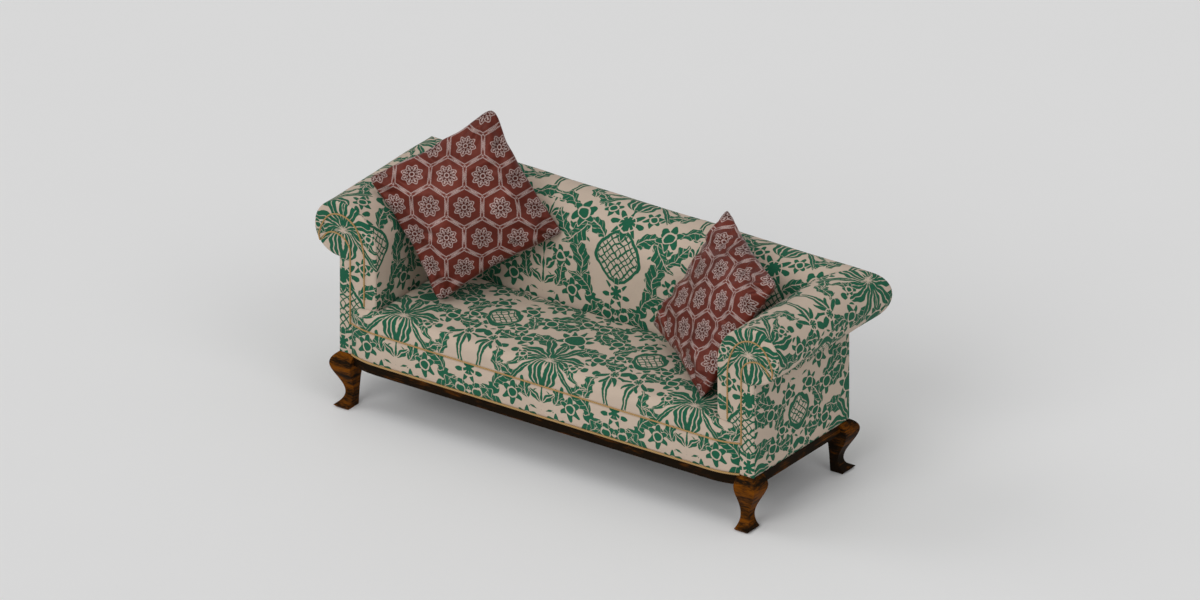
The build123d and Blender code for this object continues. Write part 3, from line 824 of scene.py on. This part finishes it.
def arm_facing(side, material):
    """Front of an arm: a flat board with a rounded padded edge."""
    outline = facing_outline()
    turns = between(0, pi / 2, 7)
    points, marks = [], []
    for turn in turns:
        inset = EDGE_ROUND * (1 - cos(turn))
        depth = EDGE_ROUND * (1 - sin(turn))
        for n, z, in_n, in_z in outline:
            place_n, place_z = n + inset * in_n, z + inset * in_z
            points.append((side * (HALF - place_n), FRONT_Y + depth, place_z))
            marks.append((place_n + FACING_PRINT[0], place_z - FABRIC_BOTTOM + FACING_PRINT[1]))
    count = len(outline)
    faces = []
    for ring in range(len(turns) - 1):
        for i in range(count):
            a, b = ring * count + i, ring * count + (i + 1) % count
            faces.append((a, b, b + count, a + count))
    faces.append(tuple(range((len(turns) - 1) * count, len(turns) * count)))
    faces.append(tuple(reversed(range(count))))
    name = "left" if side < 0 else "right"
    piece = new_piece(f"{name}_arm_front", points, faces, marks, material)
    face_out(piece, lambda centre: (side * (HALF - WALL / 3), FRONT_Y + EDGE_ROUND / 2, centre.z))
    stand_in(piece, "sofa", "damask", f"{name}_arm_facing")


def front_depth(x):
    """Front of the seat before the facing plane, at x."""
    past = abs(x) - BOW_X
    if past <= 0:
        return BOW
    return max(0.0, sqrt(max(0.0, BOW_RADIUS ** 2 - past ** 2)) - (BOW_RADIUS - BOW))


def rounding(past, radius):
    """Fall of a rounded edge, 0 to 1 over its radius; past is measured from its outer end."""
    share = max(0.0, (past + radius) / radius)
    return 1 - sqrt(max(0.0, 1 - min(1.0, share) ** 2))


def seat_height(x, back):
    """Top of the seat, back metres behind its front line."""
    if back < FRONT_ROUND:
        rise = SEAT_EDGE_Z - SEAT_WALL_TOP
        level = SEAT_WALL_TOP + rise * sqrt(max(0.0, 1 - (1 - back / FRONT_ROUND) ** 2))
    else:
        run = (back - FRONT_ROUND) / (SEAT_REACH + BOW - FRONT_ROUND)
        level = SEAT_EDGE_Z + SEAT_RISE * run + SEAT_CROWN * run * (1 - run)
    across = CROSS_TOP - CROSS_FALL * (x / CROSS_HALF) ** 2
    lower, gap = min(level, across), abs(level - across)
    level = lower - CURVES_MEET / 4 * max(0.0, 1 - gap / CURVES_MEET) ** 2
    behind = back - BOW
    if behind > 0:
        level -= SIDE_FALL * rounding(abs(x) - SEAT_HALF, SIDE_ROUND) * min(1.0, behind / SIDE_START)
        level -= REAR_ROUND * rounding(behind - SEAT_REACH, REAR_ROUND)
    return level


def seat_columns():
    """Places across the seat, closer at the rounded ends."""
    middle = between(-SEAT_HALF + SIDE_ROUND, SEAT_HALF - SIDE_ROUND, 150)
    edge = [SEAT_HALF - SIDE_ROUND * cos(t) for t in between(0, pi / 2, 9)[1:]]
    ear = between(SEAT_HALF, HALF - BOW_END, 24)[1:]
    right = edge + ear
    return [-x for x in reversed(right)] + middle + right


def seat(material):
    """Tight bench seat: front, rounded edge and crown in one cover, with ears before the arms."""
    columns = seat_columns()
    wall = between(WELT_Z + 0.001, SEAT_WALL_TOP, 6)
    shares = [s ** 1.6 for s in between(0, 1, 12)[1:]]
    points, marks = [], []
    lengths = [0.0] * len(columns)
    last = [None] * len(columns)

    def add(j, y, z):
        """Next point of a column, with its length along the cloth."""
        point = Vector((columns[j], y, z))
        if last[j] is not None:
            lengths[j] += (point - last[j]).length
        last[j] = point
        points.append(point)
        marks.append((columns[j], lengths[j] + SEAT_PRINT))

    for z in wall:
        for j, x in enumerate(columns):
            add(j, FRONT_Y - front_depth(x), z)
    for share in shares:
        for j, x in enumerate(columns):
            add(j, FRONT_Y - front_depth(x) * (1 - share), seat_height(x, front_depth(x) * share))
    rows, count = len(wall) + len(shares), len(columns)
    faces = cloth_faces(rows, count)
    inner = [j for j, x in enumerate(columns) if abs(x) <= SEAT_HALF + 1e-6]
    before = [(rows - 1) * count + j for j in inner]
    depths = between(0, SEAT_REACH - REAR_ROUND, 44)[1:]
    depths += [SEAT_REACH - REAR_ROUND * cos(t) for t in between(0, pi / 2, 9)[1:]]
    for depth in depths:
        here = []
        for j in inner:
            x = columns[j]
            edge = min(1.0, (SEAT_HALF - abs(x)) / SIDE_SWELL_EDGE, depth / SWELL_EDGE,
                       (SEAT_REACH - depth) / SWELL_EDGE)
            lift = swell((x, depth, 0.4), SEAT_SWELL * max(0.0, edge), 4.0)
            here.append(len(points))
            add(j, FRONT_Y + depth, seat_height(x, depth + BOW) + lift)
        for a, b, c, d in zip(before, before[1:], here[1:], here):
            faces.append((a, b, c, d))
        before = here
    piece = new_piece("seat_upholstery", points, faces, marks, material)
    face_out(piece, lambda centre: (centre.x, 0.0, FABRIC_BOTTOM))
    upholster(piece, ["seat_cover", "seat_pad"])


def front_line(step):
    """Front curve of the seat in plan, from end to end: x, y."""
    ends = HALF - BOW_END
    return [(x, FRONT_Y - front_depth(x)) for x in between(-ends, ends, int(2 * ends / step))]


def front_border(material):
    """Border under the seat, a little padded between its two cords."""
    line = front_line(0.010)
    levels = between(BORDER_LOW, BORDER_HIGH, 16)
    points, marks = [], []
    for z in levels:
        share = (z - BORDER_LOW) / (BORDER_HIGH - BORDER_LOW)
        puff = BORDER_PUFF * sqrt(max(0.0, 1 - (2 * share - 1) ** 2))
        for x, y in line:
            ends = min(1.0, (HALF - BOW_END - abs(x)) / BORDER_ENDS)
            points.append((x, y - puff * ends + BORDER_SUNK, z))
            marks.append((x + BORDER_PRINT[0], z - FABRIC_BOTTOM + BORDER_PRINT[1]))
    piece = new_piece("border_upholstery", points, cloth_faces(len(levels), len(line)), marks, material)
    face_out(piece, lambda centre: (centre.x, 0.0, centre.z))
    upholster(piece, ["front_border"])


def twisted_cord(path, radius, pitch, up):
    """Rings of a twisted cord along a path; up is square to the path."""
    sides = CORD_SIDES
    points, marks, faces = [], [], []
    length = 0.0
    up = Vector(up)
    for i, place in enumerate(path):
        ahead = (path[min(i + 1, len(path) - 1)] - path[max(i - 1, 0)]).normalized()
        across = ahead.cross(up).normalized()
        if i:
            length += (place - path[i - 1]).length
        for k in range(sides):
            turn = 2 * pi * k / sides
            strand = (turn - 2 * pi * length / pitch) / (2 * pi)
            reach = radius * (1 - STRAND_GROOVE + STRAND_GROOVE * abs(cos(STRANDS * pi * strand)))
            points.append(place + reach * (cos(turn) * across + sin(turn) * up))
            marks.append((length, strand))
    for i in range(len(path) - 1):
        for k in range(sides):
            a, b = i * sides + k, i * sides + (k + 1) % sides
            faces.append((a, b, b + sides, a + sides))
    faces.append(tuple(reversed(range(sides))))
    faces.append(tuple(range((len(path) - 1) * sides, len(path) * sides)))
    return points, faces, marks


def cord_piece(name, node, runs, pitch, material):
    """One cord of several runs, each (path, radius, up)."""
    points, faces, marks = [], [], []
    for path, radius, up in runs:
        more, quads, places = twisted_cord(path, radius, pitch, up)
        faces += [tuple(i + len(points) for i in face) for face in quads]
        points += more
        marks += places
    piece = new_piece(name, points, faces, marks, material)
    cores = [place for path, _, _ in runs for place in path[::6]]
    face_out(piece, lambda centre: min(cores, key=lambda place: (place - centre).length_squared))
    stand_in(piece, "sofa", "gold_cord", node)


def tangent_arcs(points, step):
    """Path through points of one plane: a straight run first, then arcs that carry on its direction."""
    path = []
    start, heading = points[0], (points[1] - points[0]).normalized()
    for end in points[1:]:
        chord = end - start
        angle = heading.angle(chord)
        axis = heading.cross(chord)
        if angle < 1e-4:
            count = max(2, int(chord.length / step))
            path += [start + chord * i / count for i in range(count)]
        else:
            axis.normalize()
            radius = chord.length / (2 * sin(angle))
            centre = start + axis.cross(heading) * radius
            count = max(3, int(2 * angle * radius / step))
            for i in range(count):
                path.append(centre + Matrix.Rotation(2 * angle * i / count, 3, axis) @ (start - centre))
            heading = Matrix.Rotation(2 * angle, 3, axis) @ heading
        start = end
    return path + [points[-1]]


# Facing pipings, from the arm's lower outer corner: in from the outside, up from the fabric's edge
OUTER_ARCH = [(0.116, 0.218), (0.116, 0.400), (0.090, 0.512), (0.005, 0.566), (-0.060, 0.532),
              (-0.087, 0.473), (-0.083, 0.438)]
INNER_ARCH = [(0.053, 0.128), (0.053, 0.420), (0.028, 0.471), (-0.014, 0.487), (-0.065, 0.460),
              (-0.076, 0.446)]
PIPING_RADIUS = 0.003
PIPING_PROUD = 0.0022        # core of a piping before the facing
WELT_RADIUS = 0.0034
GIMP_RADIUS = 0.0042
CORD_STEP = 0.0016           # between the rings of a cord


def piping_run(side, arch):
    """One piping of an arm front."""
    points = [Vector((side * (HALF - n), FRONT_Y - PIPING_PROUD, FABRIC_BOTTOM + z)) for n, z in arch]
    return tangent_arcs(points, CORD_STEP), PIPING_RADIUS, (0, 1, 0)


def front_run(z, radius):
    """A cord along the front of the seat."""
    path = [Vector((x, y, z)) for x, y in front_line(CORD_STEP)]
    return path[2:-2], radius, (0, 0, 1)


# Pillow places: in from the outside of the left arm, behind the facing, height, turn, lean, roll
PILLOW_PLACES = {"left": (0.366, 0.2995, 0.803, 30.6, 19.5, 31.0),
                 "right": (1.489, 0.308, 0.707, -30.2, 30.3, -8.5)}


def pillow_matrix(n, d, z, turn, lean, roll):
    """Place of a pillow that is made flat round the origin."""
    return (Matrix.Translation((-HALF + n, FRONT_Y + d, z)) @ Matrix.Rotation(radians(turn), 4, "Z")
            @ Matrix.Rotation(radians(90 - lean), 4, "X") @ Matrix.Rotation(radians(roll), 4, "Z"))


PILLOW_GRID = 57             # points along a side
PILLOW_LIFT = 0.070          # half the thickness before filling
SIDES_DRAWN_IN = 0.070       # share of the width, at the middle of a side
CORNER_POWER = 12            # the lower, the rounder the corners


def sewn_square(material, side):
    """Two squares of cloth sewn round their edges; also the flat place of each point, from -1 to 1."""
    count = PILLOW_GRID
    points, flat, faces = [], [], []
    places = between(-1, 1, count)
    index = {}
    for face in (1, -1):
        for i, a in enumerate(places):
            for j, b in enumerate(places):
                rim = i in (0, count - 1) or j in (0, count - 1)
                if rim and face < 0:
                    index[face, i, j] = index[1, i, j]
                    continue
                index[face, i, j] = len(points)
                lift = PILLOW_LIFT * ((1 - a * a) * (1 - b * b)) ** 0.5
                round_off = max(1.0, (a ** CORNER_POWER + b ** CORNER_POWER) ** (1 / CORNER_POWER))
                drawn = side / 2 * (1 - SIDES_DRAWN_IN * (1 - (a * b) ** 2)) / round_off
                points.append((a * drawn, b * drawn, face * lift))
                flat.append((a, b))
        for i in range(count - 1):
            for j in range(count - 1):
                corners = ((i, j), (i + 1, j), (i + 1, j + 1), (i, j + 1))
                quad = [index[(face, *corner)] for corner in corners]
                faces.append(tuple(quad if face > 0 else reversed(quad)))
    marks = [(a * side / 2, b * side / 2) for a, b in flat]
    return new_piece("pillow", points, faces, marks, material), flat


# Heights of the pillows' creases, and how far in from seam or corner they are highest
GATHER, GATHER_REACH = 0.0085, 0.15
FOLD, FOLD_REACH = 0.012, 0.3
DENT = 0.014
GATHER_WAVES = 17            # radians to half a side
FOLD_WAVES = 8               # radians to a radian round the corner
DENT_EDGE = 0.3              # dents and folds are whole from this far inside the seam
FOLD_EDGE = 0.08
WAVY = 0.022                 # share by which the outline wavers


def ripple(distance, reach):
    """Rises from 0 to 1 at reach, then fades."""
    return distance / reach * exp(1 - distance / reach)


def crease(piece, flat, seed):
    """Soft dents in the faces, gathers that run in from the seam, and folds out of the corners."""
    for vertex, (a, b) in zip(piece.data.vertices, flat):
        face = 1 if vertex.co.z > 0 else -1
        rim = 1 - max(abs(a), abs(b))
        along = b if abs(a) > abs(b) else a
        drift = noise.noise(Vector((2.5 * a, 2.5 * b, seed + face)))
        gather = GATHER * sin(GATHER_WAVES * along + 7 * drift) * ripple(rim, GATHER_REACH)
        dent = DENT * noise.noise(Vector((2.0 * a, 2.0 * b, seed + 3.7 * face)))
        dent *= min(1.0, rim / DENT_EDGE)
        reach = sqrt((1 - abs(a)) ** 2 + (1 - abs(b)) ** 2)
        across = atan2(1 - abs(a), 1 - abs(b)) - pi / 4
        fold = FOLD * cos(FOLD_WAVES * across + 5 * drift) * ripple(reach, FOLD_REACH)
        fold *= min(1.0, rim / FOLD_EDGE)
        vertex.co.z += face * (gather + dent + fold)
        wavy = 1 + WAVY * noise.noise(Vector((3.0 * a, 3.0 * b, seed + 9.0)))
        vertex.co.x *= wavy
        vertex.co.y *= wavy


FILL_LIMIT = 0.014           # furthest that the filling moves a point
FILL_STEPS = 24
FILL_SETTINGS = {"quality": 7, "mass": 0.25, "tension_stiffness": 25, "compression_stiffness": 10,
                 "shear_stiffness": 8, "bending_stiffness": 0.3, "use_pressure": True,
                 "uniform_pressure_force": 3.0}


def inflate(piece):
    """Fill the sewn cloth by pressure, without weight."""
    start = [vertex.co.copy() for vertex in piece.data.vertices]
    cloth = piece.modifiers.new("fill", "CLOTH")
    for name, value in FILL_SETTINGS.items():
        setattr(cloth.settings, name, value)
    cloth.settings.effector_weights.gravity = 0.0
    cloth.point_cache.frame_start = 1
    cloth.point_cache.frame_end = FILL_STEPS
    scene = bpy.context.scene
    for step in range(1, FILL_STEPS + 1):
        scene.frame_set(step)
        bpy.context.view_layer.update()
    bpy.ops.object.select_all(action="DESELECT")
    piece.select_set(True)
    bpy.context.view_layer.objects.active = piece
    bpy.ops.object.modifier_apply(modifier=cloth.name)
    scene.frame_set(1)
    for vertex, place in zip(piece.data.vertices, start):
        move = vertex.co - place
        if move.length > FILL_LIMIT:
            vertex.co = place + move * (FILL_LIMIT / move.length)


def fit_pillow(piece, side, thickness):
    """Bring the filled cloth to the pillow's size."""
    points = [vertex.co for vertex in piece.data.vertices]
    for axis, size in ((0, side), (1, side), (2, thickness)):
        low = min(p[axis] for p in points)
        high = max(p[axis] for p in points)
        for point in points:
            point[axis] = (point[axis] - (low + high) / 2) * size / (high - low)


# Dust sheet under the frame
SHEET_Z = 0.2130
SHEET_SAG = 0.004
SAG_HALF = (0.86, 0.28)      # half the width and depth over which it sags
SAG_MIDDLE = -0.04
# Edge of the full cloth at the legs, first row past it, and outer edge
SHEET_X = (0.855, 0.869, 0.915)
SHEET_FRONT = (-0.272, -0.2865, -0.3305)
SHEET_BACK = (0.194, 0.2095, 0.2495)


def dust_sheet(material):
    """Black cloth under the frame, cut out round the legs."""
    cut, beside, end = SHEET_X
    across = between(-end, -beside, 4) + between(-cut, cut, 60) + between(beside, end, 4)
    deep = (between(SHEET_FRONT[2], SHEET_FRONT[1], 4) + between(SHEET_FRONT[0], SHEET_BACK[0], 20)
            + between(SHEET_BACK[1], SHEET_BACK[2], 4))
    points = []
    for y in deep:
        for x in across:
            sag = max(0.0, 1 - (x / SAG_HALF[0]) ** 2) * max(0.0, 1 - ((y - SAG_MIDDLE) / SAG_HALF[1]) ** 2)
            points.append((x, y, SHEET_Z - SHEET_SAG * sag))

    def keep(i, j):
        """Drop the cells at the legs."""
        return not ((i < 4 or i > len(deep) - 6) and (j < 4 or j > len(across) - 6))

    faces = cloth_faces(len(deep), len(across), keep)
    used = sorted({i for face in faces for i in face})
    number = {old: new for new, old in enumerate(used)}
    points = [points[i] for i in used]
    faces = [tuple(number[i] for i in face) for face in faces]
    marks = [(p[0], p[1]) for p in points]
    piece = new_piece("dust_sheet", points, faces, marks, material)
    face_out(piece, lambda centre: (centre.x, centre.y, TOP_Z))
    stand_in(piece, "sofa", "dust_cloth", "dust_cover")


WOOD_NODES = {"show_wood_front": ("left_front_leg", "right_front_leg"),
              "show_wood_back": ("left_back_leg", "right_back_leg"),
              "show_wood_across": ("front_show_rail", "back_show_rail"),
              "show_wood_deep": ("left_side_show_rail", "right_side_show_rail")}
# Streaks to the metre each way, and how much of the wood stays dark; the back legs' larger dark share is
# painted shade
WOOD_GRAIN = {"show_wood_front": ((9.0, 9.0, 52.0), 1.02), "show_wood_back": ((9.0, 9.0, 52.0), 1.24),
              "show_wood_across": ((4.5, 30.0, 60.0), 1.26), "show_wood_deep": ((30.0, 4.5, 60.0), 1.18)}


class SofaOperator:
    """Shared by all making steps."""
    bl_options = {"REGISTER", "UNDO"}

    @staticmethod
    def cloth(context):
        """The printed cloth, made once."""
        return bpy.data.materials.get("printed_cloth") or damask(context.scene.sofa_cloth)


# Soft lamps: direction that they shine from, strength, spread in degrees
LAMPS = {"front_lamp": ((0.0, -1.0, 0.66), 1.00, 34),
         "left_lamp": ((-1.0, -0.3, 0.9), 0.32, 30),
         "right_lamp": ((1.0, -0.3, 0.9), 0.32, 30),
         "top_lamp": ((0.0, -0.15, 1.0), 0.27, 40)}
WORLD_STRENGTH = 0.435
FLOOR_SIZE = 60.0
FLOOR_Z = -0.0005
FLOOR_GREYS = (0.832, 0.842)

# Camera: metres across the picture, degrees round and up, the point it looks at and its distance
VIEW_WIDTH = 1200 / 269.6
VIEW_ROUND = 35.17
VIEW_UP = 26.08
VIEW_MIDDLE = (-0.196, 0.275, 0.385)
VIEW_DISTANCE = 9.0


class SOFA_OT_stage(SofaOperator, bpy.types.Operator):
    """Pale floor, soft light and the camera"""
    bl_idname = "sofa.stage"
    bl_label = "Stage"

    def execute(self, context):
        context.scene.view_settings.view_transform = "Standard"
        self.lay_floor(context)
        self.light(context.scene)
        self.set_camera(context.scene)
        return {"FINISHED"}

    @staticmethod
    def lay_floor(context):
        """Wide pale floor, just under the feet."""
        bpy.ops.object.select_all(action="DESELECT")
        bpy.ops.mesh.primitive_plane_add(size=FLOOR_SIZE, location=(0, 0, FLOOR_Z))
        floor = context.object
        floor.name = "floor"
        net = Net("floor")
        speck = net.noise(net.object_place(), 2.0, 2.0)
        colour = net.blend(speck, *((grey, grey, grey) for grey in FLOOR_GREYS))
        floor.data.materials.append(net.finish(colour, 0.6, specular_ior_level=0.15))

    @staticmethod
    def light(scene):
        """White surround and soft lamps."""
        world = bpy.data.worlds.new("studio")
        world.use_nodes = True
        background = world.node_tree.nodes["Background"]
        background.inputs["Color"].default_value = (1.0, 1.0, 1.0, 1.0)
        background.inputs["Strength"].default_value = WORLD_STRENGTH
        scene.world = world
        for name, (direction, energy, angle) in LAMPS.items():
            lamp = bpy.data.lights.new(name, "SUN")
            lamp.energy = energy
            lamp.angle = radians(angle)
            light = bpy.data.objects.new(name, lamp)
            light.rotation_euler = Vector(direction).to_track_quat("Z", "Y").to_euler()
            scene.collection.objects.link(light)

    @staticmethod
    def set_camera(scene):
        """Camera without perspective."""
        eye = bpy.data.cameras.new("camera")
        eye.type = "ORTHO"
        eye.ortho_scale = VIEW_WIDTH
        eye.clip_end = 100.0
        camera = bpy.data.objects.new("camera", eye)
        azimuth, elevation = radians(VIEW_ROUND), radians(VIEW_UP)
        toward = Vector((sin(azimuth) * cos(elevation), -cos(azimuth) * cos(elevation), sin(elevation)))
        camera.location = Vector(VIEW_MIDDLE) + toward * VIEW_DISTANCE
        camera.rotation_euler = toward.to_track_quat("Z", "Y").to_euler()
        scene.collection.objects.link(camera)
        scene.camera = camera


class SOFA_OT_arms(SofaOperator, bpy.types.Operator):
    """Covers of both arms with their scrolls"""
    bl_idname = "sofa.arms"
    bl_label = "Arms"

    def execute(self, context):
        for side in (-1, 1):
            arm_cover(side, self.cloth(context))
        return {"FINISHED"}


class SOFA_OT_back(SofaOperator, bpy.types.Operator):
    """Cover of the back with its scroll"""
    bl_idname = "sofa.back"
    bl_label = "Back"

    def execute(self, context):
        back_cover(self.cloth(context))
        return {"FINISHED"}


class SOFA_OT_outside(SofaOperator, bpy.types.Operator):
    """Outside panels of arms and back"""
    bl_idname = "sofa.outside"
    bl_label = "Outside panels"

    def execute(self, context):
        cloth = self.cloth(context)
        front, depth = FRONT_Y + EDGE_ROUND, BACK_Y - FRONT_Y - EDGE_ROUND
        for side, name in ((-1, "left"), (1, "right")):
            outside_panel(f"{name}_outside_arm", f"{name}_arm_outside_panel",
                          lambda along, deep, z: (side * (HALF - deep), front + along, z), depth,
                          (False, True), OUTSIDE_ARM_PRINT, lambda centre: (0.0, centre.y, centre.z), cloth)
        outside_panel("outside_back", "back_outside_panel",
                      lambda along, deep, z: (along - HALF, BACK_Y - deep, z), 2 * HALF, (True, True),
                      -HALF, lambda centre: (centre.x, 0.0, centre.z), cloth)
        return {"FINISHED"}


class SOFA_OT_facings(SofaOperator, bpy.types.Operator):
    """Fronts of both arms"""
    bl_idname = "sofa.facings"
    bl_label = "Arm fronts"

    def execute(self, context):
        for side in (-1, 1):
            arm_facing(side, self.cloth(context))
        return {"FINISHED"}


class SOFA_OT_seat(SofaOperator, bpy.types.Operator):
    """Tight seat and the border under it"""
    bl_idname = "sofa.seat"
    bl_label = "Seat and border"

    def execute(self, context):
        seat(self.cloth(context))
        front_border(self.cloth(context))
        return {"FINISHED"}


class SOFA_OT_cords(SofaOperator, bpy.types.Operator):
    """Gold cords of the seat, the border and the arm fronts"""
    bl_idname = "sofa.cords"
    bl_label = "Cords"

    def execute(self, context):
        trim = context.scene.sofa_trim
        gold = gold_thread(trim)
        cord_piece("seat_cord", "seat_welt", [front_run(WELT_Z, WELT_RADIUS)], trim.twist, gold)
        cord_piece("border_cord", "border_gimp", [front_run(GIMP_Z, GIMP_RADIUS)], trim.twist, gold)
        for side, name in ((-1, "left"), (1, "right")):
            cord_piece(f"{name}_front_cord", f"{name}_facing_piping",
                       [piping_run(side, OUTER_ARCH), piping_run(side, INNER_ARCH)], trim.twist, gold)
        return {"FINISHED"}


class SOFA_OT_pillows(SofaOperator, bpy.types.Operator):
    """Two filled pillows in brocade"""
    bl_idname = "sofa.pillows"
    bl_label = "Pillows"

    def execute(self, context):
        pillow = context.scene.sofa_pillow
        made, flat = sewn_square(brocade(pillow), pillow.side)
        inflate(made)
        for seed, (name, place) in enumerate(PILLOW_PLACES.items()):
            piece = bpy.data.objects.new(f"{name}_pillow", made.data.copy())
            crease(piece, flat, 10.0 * seed)
            fit_pillow(piece, pillow.side, pillow.thickness)
            piece.data.transform(pillow_matrix(*place))
            context.scene.collection.objects.link(piece)
            smooth = piece.modifiers.new("smooth", "SUBSURF")
            smooth.levels = 1
            smooth.render_levels = 1
            stand_in(piece, f"{name}_pillow", "brocade", f"{name}_pillow_cover", f"{name}_pillow_insert")
        bpy.data.objects.remove(made)
        return {"FINISHED"}


class SOFA_OT_finishes(SofaOperator, bpy.types.Operator):
    """Dust sheet, and finishes of wood, steel, webbing and stuffing"""
    bl_idname = "sofa.finishes"
    bl_label = "Finishes"

    def execute(self, context):
        wood = context.scene.sofa_wood
        dust_sheet(woven("dust_cloth", (0.010, 0.010, 0.010), (0.030, 0.029, 0.028), 0.0035))
        for name, nodes in WOOD_NODES.items():
            material = show_wood(name, wood, *WOOD_GRAIN[name])
            for node in nodes:
                self.dress(node, material)
        by_slot = {"frame_wood": frame_wood(), "steel": steel(),
                   "jute": woven("jute", (0.22, 0.14, 0.07), (0.46, 0.33, 0.18), 0.006),
                   "stuffing": woven("stuffing", (0.55, 0.50, 0.42), (0.78, 0.74, 0.66), 0.010),
                   "filling": woven("filling", (0.62, 0.60, 0.55), (0.82, 0.80, 0.76), 0.004)}
        done = {node for nodes in WOOD_NODES.values() for node in nodes}
        for row in frame["record"]["subparts"]:
            if row["material_slot"] in by_slot and row["node"] not in done:
                self.dress(row["node"], by_slot[row["material_slot"]])
        return {"FINISHED"}

    @staticmethod
    def dress(node, material):
        """Give a solid its finish."""
        mesh = frame["nodes"][node].data
        mesh.materials.clear()
        mesh.materials.append(material)


class SOFA_PT_panel(bpy.types.Panel):
    """Making steps and their sizes and colours"""
    bl_idname = "SOFA_PT_panel"
    bl_label = "Scroll-arm sofa"
    bl_space_type = "VIEW_3D"
    bl_region_type = "UI"
    bl_category = "Sofa"

    def draw(self, context):
        for group in (context.scene.sofa_cloth, context.scene.sofa_trim, context.scene.sofa_pillow,
                      context.scene.sofa_wood):
            column = self.layout.column()
            for name in group.__annotations__:
                column.prop(group, name)
        for step in STEPS:
            self.layout.operator(step.bl_idname)


GROUPS = {"sofa_cloth": SofaCloth, "sofa_trim": SofaTrim, "sofa_pillow": SofaPillow, "sofa_wood": SofaWood}
STEPS = (SOFA_OT_stage, SOFA_OT_arms, SOFA_OT_back, SOFA_OT_outside, SOFA_OT_facings, SOFA_OT_seat,
         SOFA_OT_cords, SOFA_OT_pillows, SOFA_OT_finishes)


def register():
    for cls in (*GROUPS.values(), *STEPS, SOFA_PT_panel):
        bpy.utils.register_class(cls)
    for name, group in GROUPS.items():
        setattr(bpy.types.Scene, name, bpy.props.PointerProperty(type=group))


def unregister():
    for name in GROUPS:
        delattr(bpy.types.Scene, name)
    for cls in reversed((*GROUPS.values(), *STEPS, SOFA_PT_panel)):
        bpy.utils.unregister_class(cls)


def main():
    register()
    for step in STEPS:
        group, name = step.bl_idname.split(".")
        getattr(getattr(bpy.ops, group), name)()


if __name__ == "__main__":
    main()
